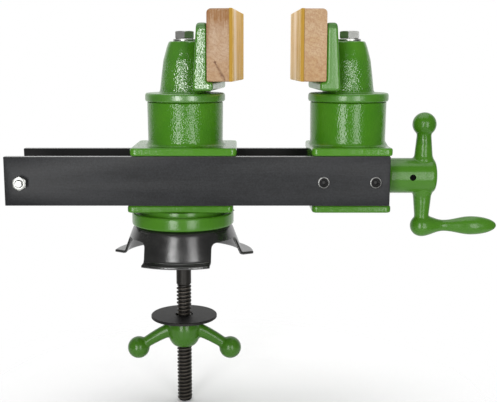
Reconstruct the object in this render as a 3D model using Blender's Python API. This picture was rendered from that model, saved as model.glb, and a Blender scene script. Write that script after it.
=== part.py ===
"""Multi-purpose vise: two flat rails carry a travelling head past a fixed one, on a swivelling bench stand.

Metres, +Z up. The origin is on the clamp spindle's axis at the bench top, under the stand's feet.
+X runs along the rails to the crank, and -Y is the side that faces the user.
"""

import math

import bmesh
import bpy
from mathutils import Matrix, Vector

for old in list(bpy.data.objects):
    bpy.data.objects.remove(old, do_unlink=True)

# Clearances and shared values
seat_gap = 0.0003
thread_clearance = 0.0003
pin_clearance = 0.0003
cut_overrun = 0.002
blend_sink = 0.0002
weld_distance = 0.00001
big_sides = 34
middle_sides = 24
limb_sides = 14
small_sides = 10
edge_steps = 2
hex_sides = 6
smooth_limit = math.radians(32)

# Pressed stand
stand_height = 0.0337
sheet_thickness = 0.003
deck_shoulder_radius = 0.0058
deck_flat_radius = 0.0480
leg_bend_reach = 0.0618
leg_bend_radius = 0.0040
foot_length = 0.0136
leg_width = 0.0690
leg_count = 3
leg_corner_radius = 0.0045
skirt_depth = 0.0130
stand_turn = math.radians(-3.5)
spindle_hole_clearance = 0.0015
arc_steps = 3

# Swivel base casting
disc_radius = 0.0541
disc_thickness = 0.0135
disc_edge_radius = 0.0018
neck_radius = 0.0468
neck_height = 0.0046

# Keeper plates under the rails
lower_plate_thickness = 0.0073
left_plate_shift = -0.0034

# Rails
rail_length = 0.3900
rail_height = 0.0500
rail_thickness = 0.0080
rail_end_setback = 0.0007
rail_edge_chamfer = 0.0006
rails_width = 0.0920
slide_clearance = 0.0003

# Fixed head, whose tower stands a little to the crank's side of the spindle
tower_offset = 0.0035
left_plate_length = 0.1080
left_block_length = 0.1040
upper_plate_thickness = 0.0082
plate_corner_radius = 0.0050
plate_edge_radius = 0.0016
tower_top_radius = 0.0397
tower_foot_radius = 0.0392
tower_height = 0.0445
tower_fillet_radius = 0.0050

# Travelling head
head_spacing = 0.1707
right_plate_length = 0.0820
right_block_length = 0.0780
right_lower_plate_length = 0.0804

# Turrets
left_turret_turn = math.radians(-6.2)
right_turret_turn = math.radians(1.9)
collar_radius = 0.0418
collar_thickness = 0.0091
collar_edge_radius = 0.0020
boss_height = 0.0526
boss_foot_radius = 0.0262
boss_waist_radius = 0.0243
boss_shoulder_radius = 0.0223
boss_top_radius = 0.0164
boss_waist_share = 0.35
boss_shoulder_share = 0.64
boss_round_share = 0.88
boss_round_radius = 0.0188
boss_fillet = 0.0022
bracket_rise = 0.0034
bracket_height = 0.0664
bracket_front = 0.0300
bracket_foot_depth = 0.0144
bracket_top_depth = 0.0104
bracket_edge_radius = 0.0022
bracket_corner_radius = 0.0060
ledge_height = 0.0088
ledge_reach = 0.0063

# Wooden jaws
jaw_width = 0.1040
jaw_height = 0.0707
jaw_depth = 0.0220
jaw_round_radius = 0.0045
jaw_edge_radius = 0.0015
facing_depth = 0.0037
jaw_screw_radius = 0.0030
jaw_screw_head_radius = 0.0055
jaw_screw_head_height = 0.0030
jaw_screw_depth = 0.0140
jaw_screw_spread = 0.0760
jaw_screw_low = 0.0220
jaw_screw_rise = 0.0280
spot_face_margin = 0.0012

# Turret bolts
turret_bolt_radius = 0.0060
turret_bolt_flats = 0.0190
turret_bolt_head_height = 0.0078
turret_bolt_length = 0.0880
turret_bolt_chamfer = 0.0008
turret_washer_radius = 0.0120
turret_washer_thickness = 0.0022
turret_bore_clearance = 0.0006

# Lead screw and its nut
screw_radius = 0.0080
screw_axis_height = 0.0250
screw_end_setback = 0.0144
screw_end_chamfer = 0.0015
screw_journal_radius = 0.0070
nut_barrel_radius = 0.0125
nut_barrel_length = 0.0460
nut_flange_radius = 0.0195
nut_flange_thickness = 0.0060
nut_screw_circle = 0.0160
nut_screw_radius = 0.0015
nut_screw_head_radius = 0.0027
nut_screw_head_height = 0.0022
nut_screw_depth = 0.0120
nut_screw_count = 2
clearway = 0.0015

# Bearing of the travelling head
bush_radius = 0.0125
bush_length = 0.0300
bush_flange_radius = 0.0170
bush_flange_thickness = 0.0025
collar_ring_radius = 0.0140
collar_ring_length = 0.0120
grub_radius = 0.0025

# Crank casting
hub_radius = 0.0186
hub_length = 0.0536
hub_dome_depth = 0.0045
hub_edge_radius = 0.0060
hub_mouth_chamfer = 0.0012
crank_pin_radius = 0.0030
crank_pin_reach = 0.0249
crank_pin_sink = 0.0012
arm_reach = 0.0388
arm_root_radius = 0.0112
arm_base_radius = 0.0096
arm_tip_radius = 0.0077
arm_root_share = 0.92
arm_base_share = 1.14
ball_radius = 0.0126
ball_drop = 0.0544
elbow_radius = 0.0118
elbow_drop = 0.0540
handle_neck_radius = 0.0060
handle_neck_reach = 0.0238
handle_grip_radius = 0.0099
handle_grip_reach = 0.0530
handle_reach = 0.0806
handle_steps = 10
ball_steps = 6

# Clamp spindle, washer and wing nut
spindle_radius = 0.0080
spindle_drop = 0.1650
spindle_engagement = 0.0090
spindle_end_chamfer = 0.0016
clamp_washer_radius = 0.0357
clamp_washer_thickness = 0.0030
clamp_washer_drop = 0.0675
clamp_washer_clearance = 0.0015
wing_hub_top_radius = 0.0150
wing_hub_radius = 0.0175
wing_hub_height = 0.0308
wing_ball_radius = 0.0120
wing_ball_reach = 0.0502
wing_ball_drop = 0.0344
wing_arm_root_reach = 0.0080
wing_arm_root_drop = 0.0110
wing_arm_crown = 0.0020
wing_arm_root_height = 0.0084
wing_arm_tip_height = 0.0070
wing_arm_width = 0.0066
wing_arm_steps = 6
wing_hub_dome_share = 0.75

# Fasteners of the frame
tie_bolt_radius = 0.0040
tie_bolt_flats = 0.0130
tie_bolt_head_height = 0.0053
tie_nut_height = 0.0065
tie_bolt_show = 0.0025
tie_bolt_setback = 0.0166
screw_row_height = 0.0235
tie_spacer_radius = 0.0075
rail_screw_radius = 0.0030
rail_screw_head_radius = 0.0058
rail_screw_grip = 0.0180
rail_screw_setback = 0.0143
rail_screw_spacing = 0.0526
hex_socket_flats = 0.0040
hex_socket_depth = 0.0022
plate_screw_radius = 0.0030
plate_screw_head_radius = 0.0058
plate_screw_grip = 0.0120
left_plate_screw_inset = 0.0060
right_plate_screw_inset = 0.0080
plate_screw_row = 0.0290

# Reach of the feet from the spindle axis
foot_reach = leg_bend_reach + foot_length

# Heights, stacked from the bench top
disc_floor = stand_height + seat_gap
neck_floor = disc_floor + disc_thickness
lower_plate_floor = neck_floor + neck_height + seat_gap
lower_plate_top = lower_plate_floor + lower_plate_thickness
rail_floor = lower_plate_top + seat_gap
rail_top = rail_floor + rail_height
spindle_top = rail_floor + spindle_engagement
upper_plate_floor = rail_top + seat_gap
upper_plate_top = upper_plate_floor + upper_plate_thickness
tower_top = upper_plate_top + tower_height
collar_floor = tower_top + seat_gap
screw_height = rail_floor + screw_axis_height
screw_row = rail_floor + screw_row_height

# Places along and across the rails
rail_face = rails_width / 2
rail_inner_face = rail_face - rail_thickness
block_half_width = rail_inner_face - slide_clearance
right_block_face = head_spacing + right_block_length / 2
rail_right = right_block_face - rail_end_setback
rail_left = rail_right - rail_length
tie_bolt_place = rail_left + tie_bolt_setback
screw_left = tie_bolt_place + screw_end_setback
rail_screw_places = (
    rail_right - rail_screw_setback - rail_screw_spacing,
    rail_right - rail_screw_setback,
)

# Turret heights, counted from the collar's underside
boss_top = collar_thickness + boss_height
bracket_floor = collar_thickness + bracket_rise
bracket_top = bracket_floor + bracket_height
ledge_top = bracket_floor + ledge_height
jaw_floor = ledge_top + seat_gap
jaw_back = bracket_front + seat_gap
jaw_front = jaw_back + jaw_depth
facing_back = jaw_front + seat_gap
hub_left = right_block_face + seat_gap + bush_flange_thickness + seat_gap


# Finishes
def finish(name, colour, roughness, metallic):
    """Plain surface of one colour for a piece."""
    made = bpy.data.materials.new(name)
    made.use_nodes = True
    shader = made.node_tree.nodes["Principled BSDF"]
    shader.inputs["Base Color"].default_value = (*colour, 1)
    shader.inputs["Roughness"].default_value = roughness
    shader.inputs["Metallic"].default_value = metallic
    made.diffuse_color = (*colour, 1)
    return made


green_enamel = finish("green_enamel", (0.055, 0.235, 0.016), 0.28, 0)
rail_black = finish("rail_black", (0.048, 0.050, 0.056), 0.42, 0.3)
stand_black = finish("stand_black", (0.030, 0.031, 0.034), 0.26, 0.2)
spindle_steel = finish("spindle_steel", (0.075, 0.058, 0.048), 0.38, 0.85)
bright_steel = finish("bright_steel", (0.56, 0.56, 0.55), 0.28, 1)
black_steel = finish("black_steel", (0.020, 0.020, 0.022), 0.40, 0.6)
beech = finish("beech", (0.61, 0.37, 0.21), 0.50, 0)
facing_wood = finish("facing_wood", (0.72, 0.50, 0.20), 0.45, 0)
brass = finish("brass", (0.60, 0.40, 0.14), 0.32, 1)


# Shapes
def arc(centre_radius, centre_height, radius, start, end, steps):
    """Points of an arc in a turned profile, from one angle in degrees to another."""
    angles = [math.radians(start + (end - start) * i / steps) for i in range(steps + 1)]
    return [
        (centre_radius + radius * math.cos(a), centre_height + radius * math.sin(a)) for a in angles
    ]


def turned(profile, sides, ring=False):
    """Solid of revolution about Z; the profile holds (radius, height), and a ring's profile closes on itself."""
    shape = bmesh.new()
    verts = [shape.verts.new((radius, 0, height)) for radius, height in profile]
    pairs = list(zip(verts, verts[1:]))
    if ring:
        pairs.append((verts[-1], verts[0]))
    edges = [shape.edges.new(pair) for pair in pairs]
    bmesh.ops.spin(
        shape, geom=verts + edges, cent=(0, 0, 0), axis=(0, 0, 1), angle=math.tau, steps=sides, use_merge=True
    )
    return closed(shape)


def closed(shape):
    """Joins meeting corners and turns every face outwards."""
    bmesh.ops.remove_doubles(shape, verts=shape.verts, dist=weld_distance)
    bmesh.ops.recalc_face_normals(shape, faces=shape.faces)
    return shape


def rod(radius, low, high, sides, chamfer=0):
    """Round bar along Z, with both ends chamfered where asked."""
    if chamfer:
        eased = radius - chamfer
        profile = [(0, low), (eased, low), (radius, low + chamfer)]
        profile += [(radius, high - chamfer), (eased, high), (0, high)]
    else:
        profile = [(0, low), (radius, low), (radius, high), (0, high)]
    return turned(profile, sides)


def hexagon_radius(flats):
    """Corner radius of a hexagon from its size across the flats."""
    return flats / math.sqrt(3)


def tube(inner, outer, low, high, sides):
    """Plain ring or sleeve along Z."""
    return turned([(inner, low), (outer, low), (outer, high), (inner, high)], sides, ring=True)


def stepped(narrow, wide, low, step, high, sides):
    """Round cutter along Z that opens from one radius to a wider one."""
    profile = [(0, low), (narrow, low), (narrow, step), (wide, step), (wide, high), (0, high)]
    return turned(profile, sides)


def block(low, high):
    """Box between two corners."""
    shape = bmesh.new()
    size = Vector(high) - Vector(low)
    middle = (Vector(high) + Vector(low)) / 2
    bmesh.ops.create_cube(shape, size=1, matrix=Matrix.Translation(middle) @ Matrix.Diagonal((*size, 1)))
    return shape


def eased(shape, radius, steps, chosen):
    """Rounds the edges whose middle and direction the test accepts."""
    edges = []
    for edge in shape.edges:
        first, last = (v.co for v in edge.verts)
        if chosen((first + last) / 2, (last - first).normalized()):
            edges.append(edge)
    bmesh.ops.bevel(
        shape, geom=edges, offset=radius, offset_type="OFFSET", segments=steps, profile=0.5, affect="EDGES"
    )
    return closed(shape)


def prism(outline, low, high):
    """Outline in X and Y, drawn up from one height to another."""
    shape = bmesh.new()
    face = shape.faces.new([shape.verts.new((x, y, low)) for x, y in outline])
    grown = bmesh.ops.extrude_face_region(shape, geom=[face])["geom"]
    top = [v for v in grown if isinstance(v, bmesh.types.BMVert)]
    bmesh.ops.translate(shape, verts=top, vec=(0, 0, high - low))
    return closed(shape)


def placed(shape, place=(0, 0, 0), along=(0, 0, 1)):
    """Points a shape's Z axis along a direction, then moves it to its place."""
    turn = Vector((0, 0, 1)).rotation_difference(Vector(along)).to_matrix().to_4x4()
    bmesh.ops.transform(shape, matrix=Matrix.Translation(place) @ turn, verts=shape.verts)
    return shape


def gathered(shapes):
    """Several separate shapes in one."""
    whole = bmesh.new()
    for shape in shapes:
        part = bpy.data.meshes.new("part")
        shape.to_mesh(part)
        shape.free()
        whole.from_mesh(part)
        bpy.data.meshes.remove(part)
    return whole


# Pieces
def linked(name, shape):
    """Object of one shape."""
    mesh = bpy.data.meshes.new(name)
    shape.to_mesh(mesh)
    shape.free()
    mesh.shade_smooth()
    mesh.set_sharp_from_angle(angle=smooth_limit)
    made = bpy.data.objects.new(name, mesh)
    bpy.context.collection.objects.link(made)
    return made


def axis_empty(name, place, parent=None, turn=0):
    """Empty on a joint's axis, which carries the pieces that move with it."""
    made = bpy.data.objects.new(name, None)
    bpy.context.collection.objects.link(made)
    made.parent = parent
    made.location = place
    made.rotation_euler = (0, 0, turn)
    return made


def piece(name, shape, look, carrier, place=(0, 0, 0)):
    """Named piece with its finish, carried by an empty."""
    made = linked(name, shape)
    made.data.materials.append(look)
    made.parent = carrier
    made.location = place
    return made


def repeated(name, shape, look, carrier, places, along):
    """Same piece at several places, each its own object on one shared mesh."""
    turn = Vector((0, 0, 1)).rotation_difference(Vector(along)).to_euler()
    first = piece(f"{name}_1", shape, look, carrier, places[0])
    first.rotation_euler = turn
    for index, place in enumerate(places[1:], 2):
        made = bpy.data.objects.new(f"{name}_{index}", first.data)
        bpy.context.collection.objects.link(made)
        made.parent = carrier
        made.location = place
        made.rotation_euler = turn


def worked(target, shape, operation):
    """Joins a shape to a piece, or cuts it out, in the piece's own coordinates."""
    step = len(target.modifiers)
    tool = linked(f"{target.name}_tool_{step}", shape)
    tool.parent = target
    tool.hide_render = True
    tool.display_type = "WIRE"
    change = target.modifiers.new(f"step_{step}", "BOOLEAN")
    change.operation = operation
    change.solver = "EXACT"
    change.object = tool


def joined(target, shape):
    worked(target, shape, "UNION")


def cut(target, shape):
    worked(target, shape, "DIFFERENCE")


# Axes: the swivel, the travelling frame, both turrets, the crank and the bench clamp
vise_axis = axis_empty("vise_axis", (0, 0, 0))
tower_axis = axis_empty("tower_axis", (tower_offset, 0, 0), vise_axis)
carriage_axis = axis_empty("carriage_axis", (0, 0, 0), tower_axis)
left_turret_axis = axis_empty("left_turret_axis", (0, 0, collar_floor), tower_axis, left_turret_turn)
right_turret_axis = axis_empty(
    "right_turret_axis", (head_spacing, 0, collar_floor), carriage_axis, math.pi + right_turret_turn
)
crank_axis = axis_empty("crank_axis", (0, 0, screw_height), carriage_axis)
clamp_axis = axis_empty("clamp_axis", (0, 0, -clamp_washer_drop), vise_axis)


# Pressed stand: a deck, a short skirt and splayed legs with turned-out feet
def stand_line():
    """Middle line of the sheet, from the spindle hole out to the foot's tip."""
    half = sheet_thickness / 2
    deck = stand_height - half
    shoulder = deck_shoulder_radius - half
    lean = math.atan2(leg_bend_reach - deck_flat_radius - deck_shoulder_radius, deck - leg_bend_radius)
    lean_degrees = math.degrees(lean)
    bend = leg_bend_radius - half
    points = [(spindle_radius + spindle_hole_clearance, deck)]
    points += arc(deck_flat_radius, deck - shoulder, shoulder, 90, lean_degrees, arc_steps)
    points += arc(leg_bend_reach + bend, half + bend, bend, 180 + lean_degrees, 270, arc_steps)
    points.append((foot_reach, half))
    return points


def leg_window(middle):
    """Cutter that clears the sheet between two legs; its apex is where the legs' edges would meet."""
    step = math.tau / leg_count / 2
    apex = leg_width / 2 / math.sin(step)
    reach = 2 * foot_reach

    def corner(near_share, far_share):
        low = Vector((math.cos(middle - step), math.sin(middle - step), 0)) * near_share
        high = Vector((math.cos(middle + step), math.sin(middle + step), 0)) * far_share
        base = Vector((math.cos(middle), math.sin(middle), 0)) * apex
        return (base + (low + high) * reach).to_tuple()[:2]

    outline = [corner(0, 0), corner(1, 0), corner(1, 1), corner(0, 1)]
    window = prism(outline, -cut_overrun, stand_height - skirt_depth)

    def rim(centre, direction):
        return centre.z > 0 and abs(direction.z) < 0.5

    return eased(window, leg_corner_radius, arc_steps, rim)


def build_stand():
    """One pressed sheet with three parallel-sided legs."""
    shape = bmesh.new()
    verts = [shape.verts.new((radius, 0, height)) for radius, height in stand_line()]
    edges = [shape.edges.new(pair) for pair in zip(verts, verts[1:])]
    bmesh.ops.spin(
        shape, geom=verts + edges, cent=(0, 0, 0), axis=(0, 0, 1), angle=math.tau, steps=big_sides, use_merge=True
    )
    closed(shape)
    stand = piece("bench_stand", shape, stand_black, None)
    wall = stand.modifiers.new("sheet", "SOLIDIFY")
    wall.thickness = sheet_thickness
    wall.offset = 0
    wall.use_even_offset = True
    front = -math.pi / 2 + stand_turn
    for index in range(leg_count):
        cut(stand, leg_window(front + math.tau * (index + 0.5) / leg_count))


# Castings of the two heads
def upright(x, direction):
    """Tests for a vertical edge."""
    return abs(direction.z) > 0.9


def plate(length, width, low, high):
    """Cast plate with rounded corners and eased edges."""
    shape = block((-length / 2, -width / 2, low), (length / 2, width / 2, high))
    eased(shape, plate_corner_radius, arc_steps, upright)

    def rim(centre, direction):
        return abs(direction.z) < 0.1

    return eased(shape, plate_edge_radius, edge_steps, rim)


def tower(low, high, reach):
    """Round tower, tapered for casting, with a fillet at its foot that stops at the plate's ends."""
    foot = tower_foot_radius + tower_fillet_radius
    profile = [(0, low - upper_plate_thickness / 2), (foot, low - upper_plate_thickness / 2)]
    fillet_height = low + tower_fillet_radius - blend_sink
    profile += arc(foot, fillet_height, tower_fillet_radius, 270, 180, arc_steps)
    profile += [(tower_top_radius, high), (0, high)]
    shape = turned(profile, big_sides)
    for side in (-1, 1):
        trimmed(shape, (side * reach, 0, 0), (side, 0, 0))
    return shape


def trimmed(shape, place, outwards):
    """Slices off what lies beyond a plane and closes the cut."""
    everything = shape.verts[:] + shape.edges[:] + shape.faces[:]
    sliced = bmesh.ops.bisect_plane(
        shape, geom=everything, dist=weld_distance, plane_co=place, plane_no=outwards, clear_outer=True
    )
    rim = [item for item in sliced["geom_cut"] if isinstance(item, bmesh.types.BMEdge)]
    if rim:
        bmesh.ops.edgeloop_fill(shape, edges=rim)
    return closed(shape)


def corner_places(length, inset):
    """Four places near a block's corners."""
    reach = length / 2 - inset
    return [(x, y) for x in (-reach, reach) for y in (-plate_screw_row, plate_screw_row)]


def countersunk(radius, head_radius, low, high, margin=0):
    """Screw along Z with its flat head at the top; the margin swells it into its own hole."""
    cone = head_radius - radius
    body = [(0, low), (radius + margin, low), (radius + margin, high - cone), (head_radius + margin, high)]
    if margin:
        body.append((head_radius + margin, high + cut_overrun))
    body.append((0, body[-1][1]))
    return turned(body, small_sides)


def socket(low, high):
    """Hexagon recess for a key."""
    return rod(hexagon_radius(hex_socket_flats), low, high, hex_sides)


def build_head(name, plate_length, block_length, carrier, place):
    """Centre block between the rails, upper plate over them and the tower that carries a turret."""
    shape = block(
        (-block_length / 2, -block_half_width, rail_floor),
        (block_length / 2, block_half_width, upper_plate_floor + upper_plate_thickness / 2),
    )
    head = piece(name, shape, green_enamel, carrier, place)
    joined(head, plate(plate_length, rails_width, upper_plate_floor, upper_plate_top))
    joined(head, tower(upper_plate_top, tower_top, plate_length / 2 - blend_sink))
    bolt_hole = turret_bolt_radius + thread_clearance
    bolt_end = collar_floor + boss_top + seat_gap + turret_washer_thickness + seat_gap - turret_bolt_length
    cut(head, rod(bolt_hole, bolt_end - cut_overrun, tower_top + cut_overrun, middle_sides))
    return head


def build_left_head():
    """Fixed head, bored for the lead nut, the spindle and the base screws."""
    head = build_head("left_head", left_plate_length, left_block_length, tower_axis, (0, 0, 0))
    half = left_block_length / 2
    bore = stepped(
        screw_radius + clearway,
        nut_barrel_radius + seat_gap,
        -half - cut_overrun,
        half - nut_barrel_length - seat_gap,
        half + cut_overrun,
        middle_sides,
    )
    cut(head, placed(bore, (0, 0, screw_height), (1, 0, 0)))
    spindle_hole = rod(
        spindle_radius + thread_clearance, rail_floor - cut_overrun, spindle_top + thread_clearance, middle_sides
    )
    cut(head, placed(spindle_hole, (-tower_offset, 0, 0)))
    holes = []
    for x, y in corner_places(left_block_length, left_plate_screw_inset):
        hole = rod(
            plate_screw_radius + thread_clearance,
            rail_floor - cut_overrun,
            rail_floor + plate_screw_grip + thread_clearance,
            small_sides,
        )
        holes.append(placed(hole, (x, y, 0)))
    for y, z in nut_screw_places():
        hole = rod(
            nut_screw_radius + thread_clearance, half - nut_screw_depth - thread_clearance, half + cut_overrun, small_sides
        )
        holes.append(placed(hole, (0, y, z), (1, 0, 0)))
    cut(head, gathered(holes))


def nut_screw_places():
    """Places of the flange screws round the lead screw."""
    angles = [math.tau * i / nut_screw_count for i in range(nut_screw_count)]
    return [
        (nut_screw_circle * math.cos(a), screw_height + nut_screw_circle * math.sin(a)) for a in angles
    ]


def build_right_head():
    """Travelling head, bored for the bush, the lead screw and the screws that hold it to the rails."""
    head = build_head(
        "right_head", right_plate_length, right_block_length, carriage_axis, (head_spacing, 0, 0)
    )
    half = right_block_length / 2
    bore = stepped(
        screw_radius + clearway,
        bush_radius + seat_gap,
        -half - cut_overrun,
        half - bush_length - seat_gap,
        half + cut_overrun,
        middle_sides,
    )
    cut(head, placed(bore, (0, 0, screw_height), (1, 0, 0)))
    holes = []
    for x, y in corner_places(right_block_length, right_plate_screw_inset):
        hole = rod(
            plate_screw_radius + thread_clearance,
            rail_floor - cut_overrun,
            rail_floor + plate_screw_grip + thread_clearance,
            small_sides,
        )
        holes.append(placed(hole, (x, y, 0)))
    for x in rail_screw_places:
        for side in (-1, 1):
            depth = rail_screw_grip + thread_clearance
            hole = rod(rail_screw_radius + thread_clearance, block_half_width - depth, rail_face, small_sides)
            holes.append(placed(hole, (x - head_spacing, 0, screw_row), (0, side, 0)))
    cut(head, gathered(holes))


def build_swivel_base():
    """Turned disc and neck that swivel on the stand, threaded on the spindle."""
    edge = disc_edge_radius
    neck_top = neck_floor + neck_height
    profile = [(0, disc_floor)]
    profile += arc(disc_radius - edge, disc_floor + edge, edge, 270, 360, edge_steps)
    profile += arc(disc_radius - edge, neck_floor - edge, edge, 0, 90, edge_steps)
    profile += [(neck_radius, neck_floor), (neck_radius, neck_top), (0, neck_top)]
    base = piece("swivel_base", turned(profile, big_sides), green_enamel, vise_axis)
    bore = rod(
        spindle_radius + thread_clearance, disc_floor - cut_overrun, neck_top + cut_overrun, middle_sides
    )
    cut(base, bore)


def build_lower_plate(side_name, plate_length, shift, block_length, inset, carrier, x):
    """Keeper plate under the rails, screwed up into the head's block; the plate alone can sit to one side."""
    shape = placed(plate(plate_length, rails_width, lower_plate_floor, lower_plate_top), (shift, 0, 0))
    keeper = piece(f"{side_name}_lower_plate", shape, green_enamel, carrier, (x, 0, 0))
    corners = [(a, b, lower_plate_floor) for a, b in corner_places(block_length, inset)]
    holes = [placed(plate_screw(seat_gap), corner, (0, 0, -1)) for corner in corners]
    cut(keeper, gathered(holes))
    places = [(x + a, b, c) for a, b, c in corners]
    repeated(f"{side_name}_plate_screw", plate_screw(), black_steel, carrier, places, (0, 0, -1))
    return keeper


def build_left_plate():
    """Keeper plate of the fixed head, with a hole for the spindle."""
    keeper = build_lower_plate(
        "left", left_plate_length, left_plate_shift, left_block_length, left_plate_screw_inset, tower_axis, 0
    )
    bore = rod(
        spindle_radius + seat_gap, lower_plate_floor - cut_overrun, lower_plate_top + cut_overrun, middle_sides
    )
    cut(keeper, placed(bore, (-tower_offset, 0, 0)))


def plate_screw(margin=0):
    """Countersunk screw from under a lower plate up into the block above it, head end at zero."""
    reach = rail_floor + plate_screw_grip - lower_plate_floor
    return countersunk(plate_screw_radius, plate_screw_head_radius, -reach, 0, margin)


# Rails and what ties them together
def rail_screw(margin=0):
    """Countersunk screw through a rail into the travelling head, as seen from the rails' middle."""
    low = block_half_width - rail_screw_grip
    return countersunk(rail_screw_radius, rail_screw_head_radius, low, rail_face, margin)


def build_rail(name, side):
    """Flat bar on edge, drilled for the tie bolt and countersunk for its screws."""
    inner, outer = sorted((side * rail_inner_face, side * rail_face))
    shape = block((rail_left, inner, rail_floor), (rail_right, outer, rail_top))

    def every(centre, direction):
        return True

    eased(shape, rail_edge_chamfer, 1, every)
    rail = piece(name, shape, rail_black, carriage_axis)
    hole = rod(tie_bolt_radius + seat_gap, -rail_face - cut_overrun, rail_face + cut_overrun, small_sides)
    holes = [placed(hole, (tie_bolt_place, 0, screw_row), (0, 1, 0))]
    holes += [placed(rail_screw(seat_gap), (x, 0, screw_row), (0, side, 0)) for x in rail_screw_places]
    cut(rail, gathered(holes))


def build_rail_screws():
    """Two socket screws a side, flush with the rails."""
    for side, word in ((-1, "front"), (1, "rear")):
        for index, x in enumerate(rail_screw_places, 1):
            screw = placed(rail_screw(), (0, 0, 0), (0, side, 0))
            made = piece(f"{word}_rail_screw_{index}", screw, black_steel, carriage_axis, (x, 0, screw_row))
            key = socket(rail_face - hex_socket_depth, rail_face + cut_overrun)
            cut(made, placed(key, (0, 0, 0), (0, side, 0)))


def build_tie():
    """Bolt, nut and distance sleeve that hold the rails' free ends."""
    place = (tie_bolt_place, 0, screw_row)
    outer = rail_face + seat_gap
    nut_end = outer + tie_nut_height
    bolt = rod(tie_bolt_radius, -nut_end - tie_bolt_show, outer + tie_bolt_head_height / 2, small_sides)
    made = piece("tie_bolt", placed(bolt, place, (0, 1, 0)), bright_steel, carriage_axis)
    head = rod(hexagon_radius(tie_bolt_flats), outer, outer + tie_bolt_head_height, hex_sides)
    joined(made, placed(head, place, (0, 1, 0)))
    hollow = rod(tie_bolt_radius + thread_clearance, -nut_end - cut_overrun, -outer + cut_overrun, small_sides)
    nut_body = rod(hexagon_radius(tie_bolt_flats), -nut_end, -outer, hex_sides)
    nut_made = piece("tie_nut", placed(nut_body, place, (0, 1, 0)), bright_steel, carriage_axis)
    cut(nut_made, placed(hollow, place, (0, 1, 0)))
    half = rail_inner_face - seat_gap
    sleeve = tube(tie_bolt_radius + seat_gap, tie_spacer_radius, -half, half, small_sides)
    piece("tie_spacer", placed(sleeve, place, (0, 1, 0)), bright_steel, carriage_axis)


# Turrets with their jaws
def boss_profile():
    """Outline of the boss from the collar's top up to its flat."""
    fillet = boss_fillet
    points = arc(boss_foot_radius + fillet, collar_thickness + fillet, fillet, 270, 180, edge_steps)
    points += [
        (boss_waist_radius, collar_thickness + boss_height * boss_waist_share),
        (boss_shoulder_radius, collar_thickness + boss_height * boss_shoulder_share),
        (boss_round_radius, collar_thickness + boss_height * boss_round_share),
        (boss_top_radius, boss_top),
        (0, boss_top),
    ]
    return points


def turret_body():
    """Collar and tapered boss, turned as one."""
    edge = collar_edge_radius
    profile = [(0, 0)]
    profile += arc(collar_radius - edge, edge, edge, 270, 360, edge_steps)
    profile += arc(collar_radius - edge, collar_thickness - edge, edge, 0, 90, edge_steps)
    return turned(profile + boss_profile(), big_sides)


def bracket():
    """Upright plate behind a jaw with the ledge that the jaw stands on."""
    foot = bracket_front - bracket_foot_depth
    head = bracket_front - bracket_top_depth
    tip = bracket_front + ledge_reach
    outline = [
        (foot, bracket_floor),
        (tip, bracket_floor),
        (tip, ledge_top),
        (bracket_front, ledge_top),
        (bracket_front, bracket_top),
        (head, bracket_top),
    ]
    half = jaw_width / 2
    shape = placed(prism([(-z, x) for x, z in outline], -half, half), (0, 0, 0), (0, 0, 1))
    turn = Matrix(((0, 1, 0, 0), (0, 0, 1, 0), (-1, 0, 0, 0), (0, 0, 0, 1)))
    bmesh.ops.transform(shape, matrix=turn, verts=shape.verts)

    def crosswise(centre, direction):
        return centre.z > ledge_top + weld_distance and abs(direction.y) + abs(direction.z) < weld_distance

    def outer_edge(centre, direction):
        inner_corner = abs(centre.x - bracket_front) < weld_distance and abs(centre.z - ledge_top) < weld_distance
        return not inner_corner and not crosswise(centre, direction)

    eased(shape, bracket_corner_radius, arc_steps, crosswise)

    return eased(closed(shape), bracket_edge_radius, 2, outer_edge)


def jaw_screw_places():
    """Places of a jaw's screws, across the jaw and up from the collar."""
    heights = (bracket_floor + jaw_screw_low, bracket_floor + jaw_screw_low + jaw_screw_rise)
    return [(y, z) for y in (-jaw_screw_spread / 2, jaw_screw_spread / 2) for z in heights]


def jaw_screw_seat():
    """Depth of the flat that a jaw screw's head pulls against, along the jaw's own X."""
    return bracket_front - bracket_top_depth + spot_face_margin


def build_turret(side_name, turret_axis):
    """Turret casting, wooden jaw, facing and jaw screws."""
    turret = piece(f"{side_name}_turret", turret_body(), green_enamel, turret_axis)
    joined(turret, bracket())
    bore = turret_bolt_radius + turret_bore_clearance
    cut(turret, rod(bore, -cut_overrun, boss_top + cut_overrun, middle_sides))
    seat = jaw_screw_seat()
    holes = []
    for y, z in jaw_screw_places():
        hole = rod(jaw_screw_radius + seat_gap, 0, bracket_front + cut_overrun, small_sides)
        holes.append(placed(hole, (0, y, z), (1, 0, 0)))
    cut(turret, gathered(holes))
    spots = []
    for y, z in jaw_screw_places():
        spot = rod(jaw_screw_head_radius + seat_gap, 0, seat, small_sides)
        spots.append(placed(spot, (0, y, z), (1, 0, 0)))
    cut(turret, gathered(spots))
    build_jaw(side_name, turret_axis)
    reach = jaw_back + jaw_screw_depth - seat + seat_gap
    profile = [
        (0, -jaw_screw_head_height),
        (jaw_screw_head_radius, -jaw_screw_head_height / 2),
        (jaw_screw_head_radius, 0),
        (jaw_screw_radius, 0),
        (jaw_screw_radius, reach - jaw_screw_radius),
        (0, reach),
    ]
    places = [(seat - seat_gap, y, z) for y, z in jaw_screw_places()]
    repeated(f"{side_name}_jaw_screw", turned(profile, small_sides), bright_steel, turret_axis, places, (1, 0, 0))


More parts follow.
